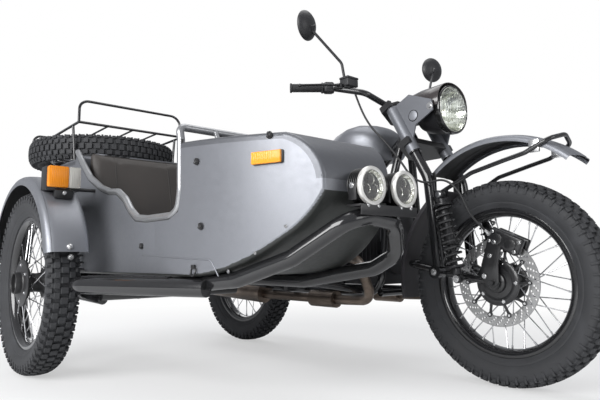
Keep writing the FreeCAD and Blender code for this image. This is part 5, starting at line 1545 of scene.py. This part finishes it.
class SIDECAR_OT_body_trims(bpy.types.Operator):
    """Seal, studs, panel bead, tie ring and bolts of the sidecar's body, and the ribs of the step"""
    bl_idname = "sidecar.body_trims"
    bl_label = "Body trims"

    def execute(self, context):
        seal = plain_finish("door seal rubber", (0.02, 0.02, 0.021), 0.7, grain=900, bump=0.3)
        black = plain_finish("stud black", (0.016, 0.016, 0.017), 0.35, bump=0.1)
        steel = bright_steel("body bolts", 0.6, 0.26)
        grey = satin_paint("panel bead paint", context.scene.sidecar_paints.body)
        door_seal(seal)
        body_studs(black)
        panel_bead(grey)
        step_ribs(black)
        body_bolts(steel)
        return {"FINISHED"}


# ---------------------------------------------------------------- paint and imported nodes

def fork_finish(grey, black):
    """Grey covers above, gloss black legs below, parted square to the steering axis."""
    finish = grey.copy()
    finish.name = "fork covers and legs"
    nodes, links = finish.node_tree.nodes, finish.node_tree.links
    surface = nodes["Principled BSDF"]
    rake = math.radians(29)
    place = nodes.new("ShaderNodeTexCoord")
    shifted = nodes.new("ShaderNodeVectorMath")
    shifted.operation = "SUBTRACT"
    shifted.inputs[1].default_value = at(1239.6, 0, 829)
    along = nodes.new("ShaderNodeVectorMath")
    along.operation = "DOT_PRODUCT"
    along.inputs[1].default_value = (-math.sin(rake), 0, math.cos(rake))
    links.new(place.outputs["Object"], shifted.inputs[0])
    links.new(shifted.outputs[0], along.inputs[0])
    above = nodes.new("ShaderNodeMath")
    above.operation = "GREATER_THAN"
    above.inputs[1].default_value = -0.0005
    links.new(along.outputs["Value"], above.inputs[0])
    leg = nodes.new("ShaderNodeBsdfPrincipled")
    leg.inputs["Base Color"].default_value = (*black, 1)
    leg.inputs["Roughness"].default_value = 0.16
    leg.inputs["Coat Weight"].default_value = 0.4
    mixed = nodes.new("ShaderNodeMixShader")
    links.new(above.outputs[0], mixed.inputs[0])
    links.new(leg.outputs[0], mixed.inputs[1])
    links.new(surface.outputs[0], mixed.inputs[2])
    links.new(mixed.outputs[0], nodes["Material Output"].inputs["Surface"])
    return finish


class SIDECAR_OT_finishes(bpy.types.Operator):
    """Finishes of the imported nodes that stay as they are"""
    bl_idname = "sidecar.finishes"
    bl_label = "Paint, steel and plastic"

    def execute(self, context):
        paints = context.scene.sidecar_paints
        body = satin_paint("satin grey body paint", paints.body, paints.pan)
        grey = satin_paint("satin grey paint", paints.body)
        gloss = plain_finish("gloss black tube paint", paints.frame, 0.14, coat=0.5, spread=0.06, bump=0.02)
        satin = plain_finish("satin black paint", (0.02, 0.02, 0.021), 0.38, spread=0.1, bump=0.08)
        plastic = plain_finish("grained black plastic", (0.03, 0.03, 0.033), 0.6, grain=900, bump=0.3)
        casting = plain_finish("black engine casting", (0.045, 0.045, 0.048), 0.5, metallic=0.4, grain=300,
                               bump=0.35)
        # The hood (body_top) wears the same paint as the body; this copy is darkened to 62 % as painted shade and
        # painted reflection of dark surroundings, not a paint of its own.
        hood_painted_shade = satin_paint("satin grey hood paint", tint(paints.body, 0.62), paints.pan)
        rails = plain_finish("silver grey trim tube", (0.34, 0.345, 0.355), 0.3, metallic=0.7, spread=0.08, bump=0.04)
        for finish, nodes in (
                (body, ("body_bulkhead", "body_outer_wall", "body_inner_wall", "body_pan")),
                (hood_painted_shade, ("body_top",)),
                (grey, ("trunk_lid", "fuel_tank", "rear_fender", "sidecar_fender", "front_fender")),
                (rails, ("cockpit_rails",)),
                (gloss, ("main_frame", "sidecar_frame", "step_bar", "fender_guard", "rack_deck", "rack_hoops",
                         "fork_link", "sidecar_arm", "sidecar_hoop", "sidecar_struts", "centre_stand",
                         "handlebar")),
                (satin, ("fork_yokes", "rear_arm", "footrests", "front_calliper", "rear_lamp", "seat_base",
                         "mirrors", "fork_shocks", "rear_shocks", "sidecar_shock", "headlight",
                         "front_brake_disc")),
                (casting, ("engine_case", "cylinders"))):
            for node in nodes:
                painted(node, finish)
        painted("air_intake", plastic)
        painted("exhausts", heated_pipe("heat browned steel", (0.15, 0.12, 0.098)))
        painted("fork_tubes", fork_finish(grey, paints.frame))
        cover = leather("dark seat vinyl", paints.seat)
        for node in ("rider_saddle", "seat_cushion", "seat_back"):
            painted(node, cover)
        painted("headlight_glass", clear_glass("headlight glass"))
        painted("sidecar_lamps", clear_glass("amber lens", (1.0, 0.32, 0.03), transmission=0.4))
        return {"FINISHED"}


OPERATORS = (SIDECAR_OT_stage, SIDECAR_OT_finishes, SIDECAR_OT_tyres, SIDECAR_OT_rims, SIDECAR_OT_fenders,
             SIDECAR_OT_headlight, SIDECAR_OT_lamps, SIDECAR_OT_suspension, SIDECAR_OT_brake, SIDECAR_OT_handlebar,
             SIDECAR_OT_mirrors, SIDECAR_OT_brake_hose, SIDECAR_OT_tank, SIDECAR_OT_seats, SIDECAR_OT_body_trims)
CLASSES = (WheelSizes, PaintColours, StageSizes) + OPERATORS


class SIDECAR_PT_panel(bpy.types.Panel):
    """Lists the pieces and their sizes in the sidebar"""
    bl_idname = "SIDECAR_PT_panel"
    bl_label = "Sidecar motorcycle"
    bl_space_type = "VIEW_3D"
    bl_region_type = "UI"
    bl_category = "Sidecar"

    def draw(self, context):
        layout = self.layout
        for group in (context.scene.sidecar_wheels, context.scene.sidecar_paints, context.scene.sidecar_stage):
            for name in group.__annotations__:
                layout.prop(group, name)
        for operator in OPERATORS:
            layout.operator(operator.bl_idname)


def register():
    for cls in CLASSES:
        bpy.utils.register_class(cls)
    bpy.utils.register_class(SIDECAR_PT_panel)
    bpy.types.Scene.sidecar_wheels = PointerProperty(type=WheelSizes)
    bpy.types.Scene.sidecar_paints = PointerProperty(type=PaintColours)
    bpy.types.Scene.sidecar_stage = PointerProperty(type=StageSizes)


def unregister():
    del bpy.types.Scene.sidecar_wheels
    del bpy.types.Scene.sidecar_paints
    del bpy.types.Scene.sidecar_stage
    bpy.utils.unregister_class(SIDECAR_PT_panel)
    for cls in reversed(CLASSES):
        bpy.utils.unregister_class(cls)


def main():
    register()
    for operator in OPERATORS:
        group, name = operator.bl_idname.split(".")
        getattr(getattr(bpy.ops, group), name)()


if __name__ == "__main__":
    main()
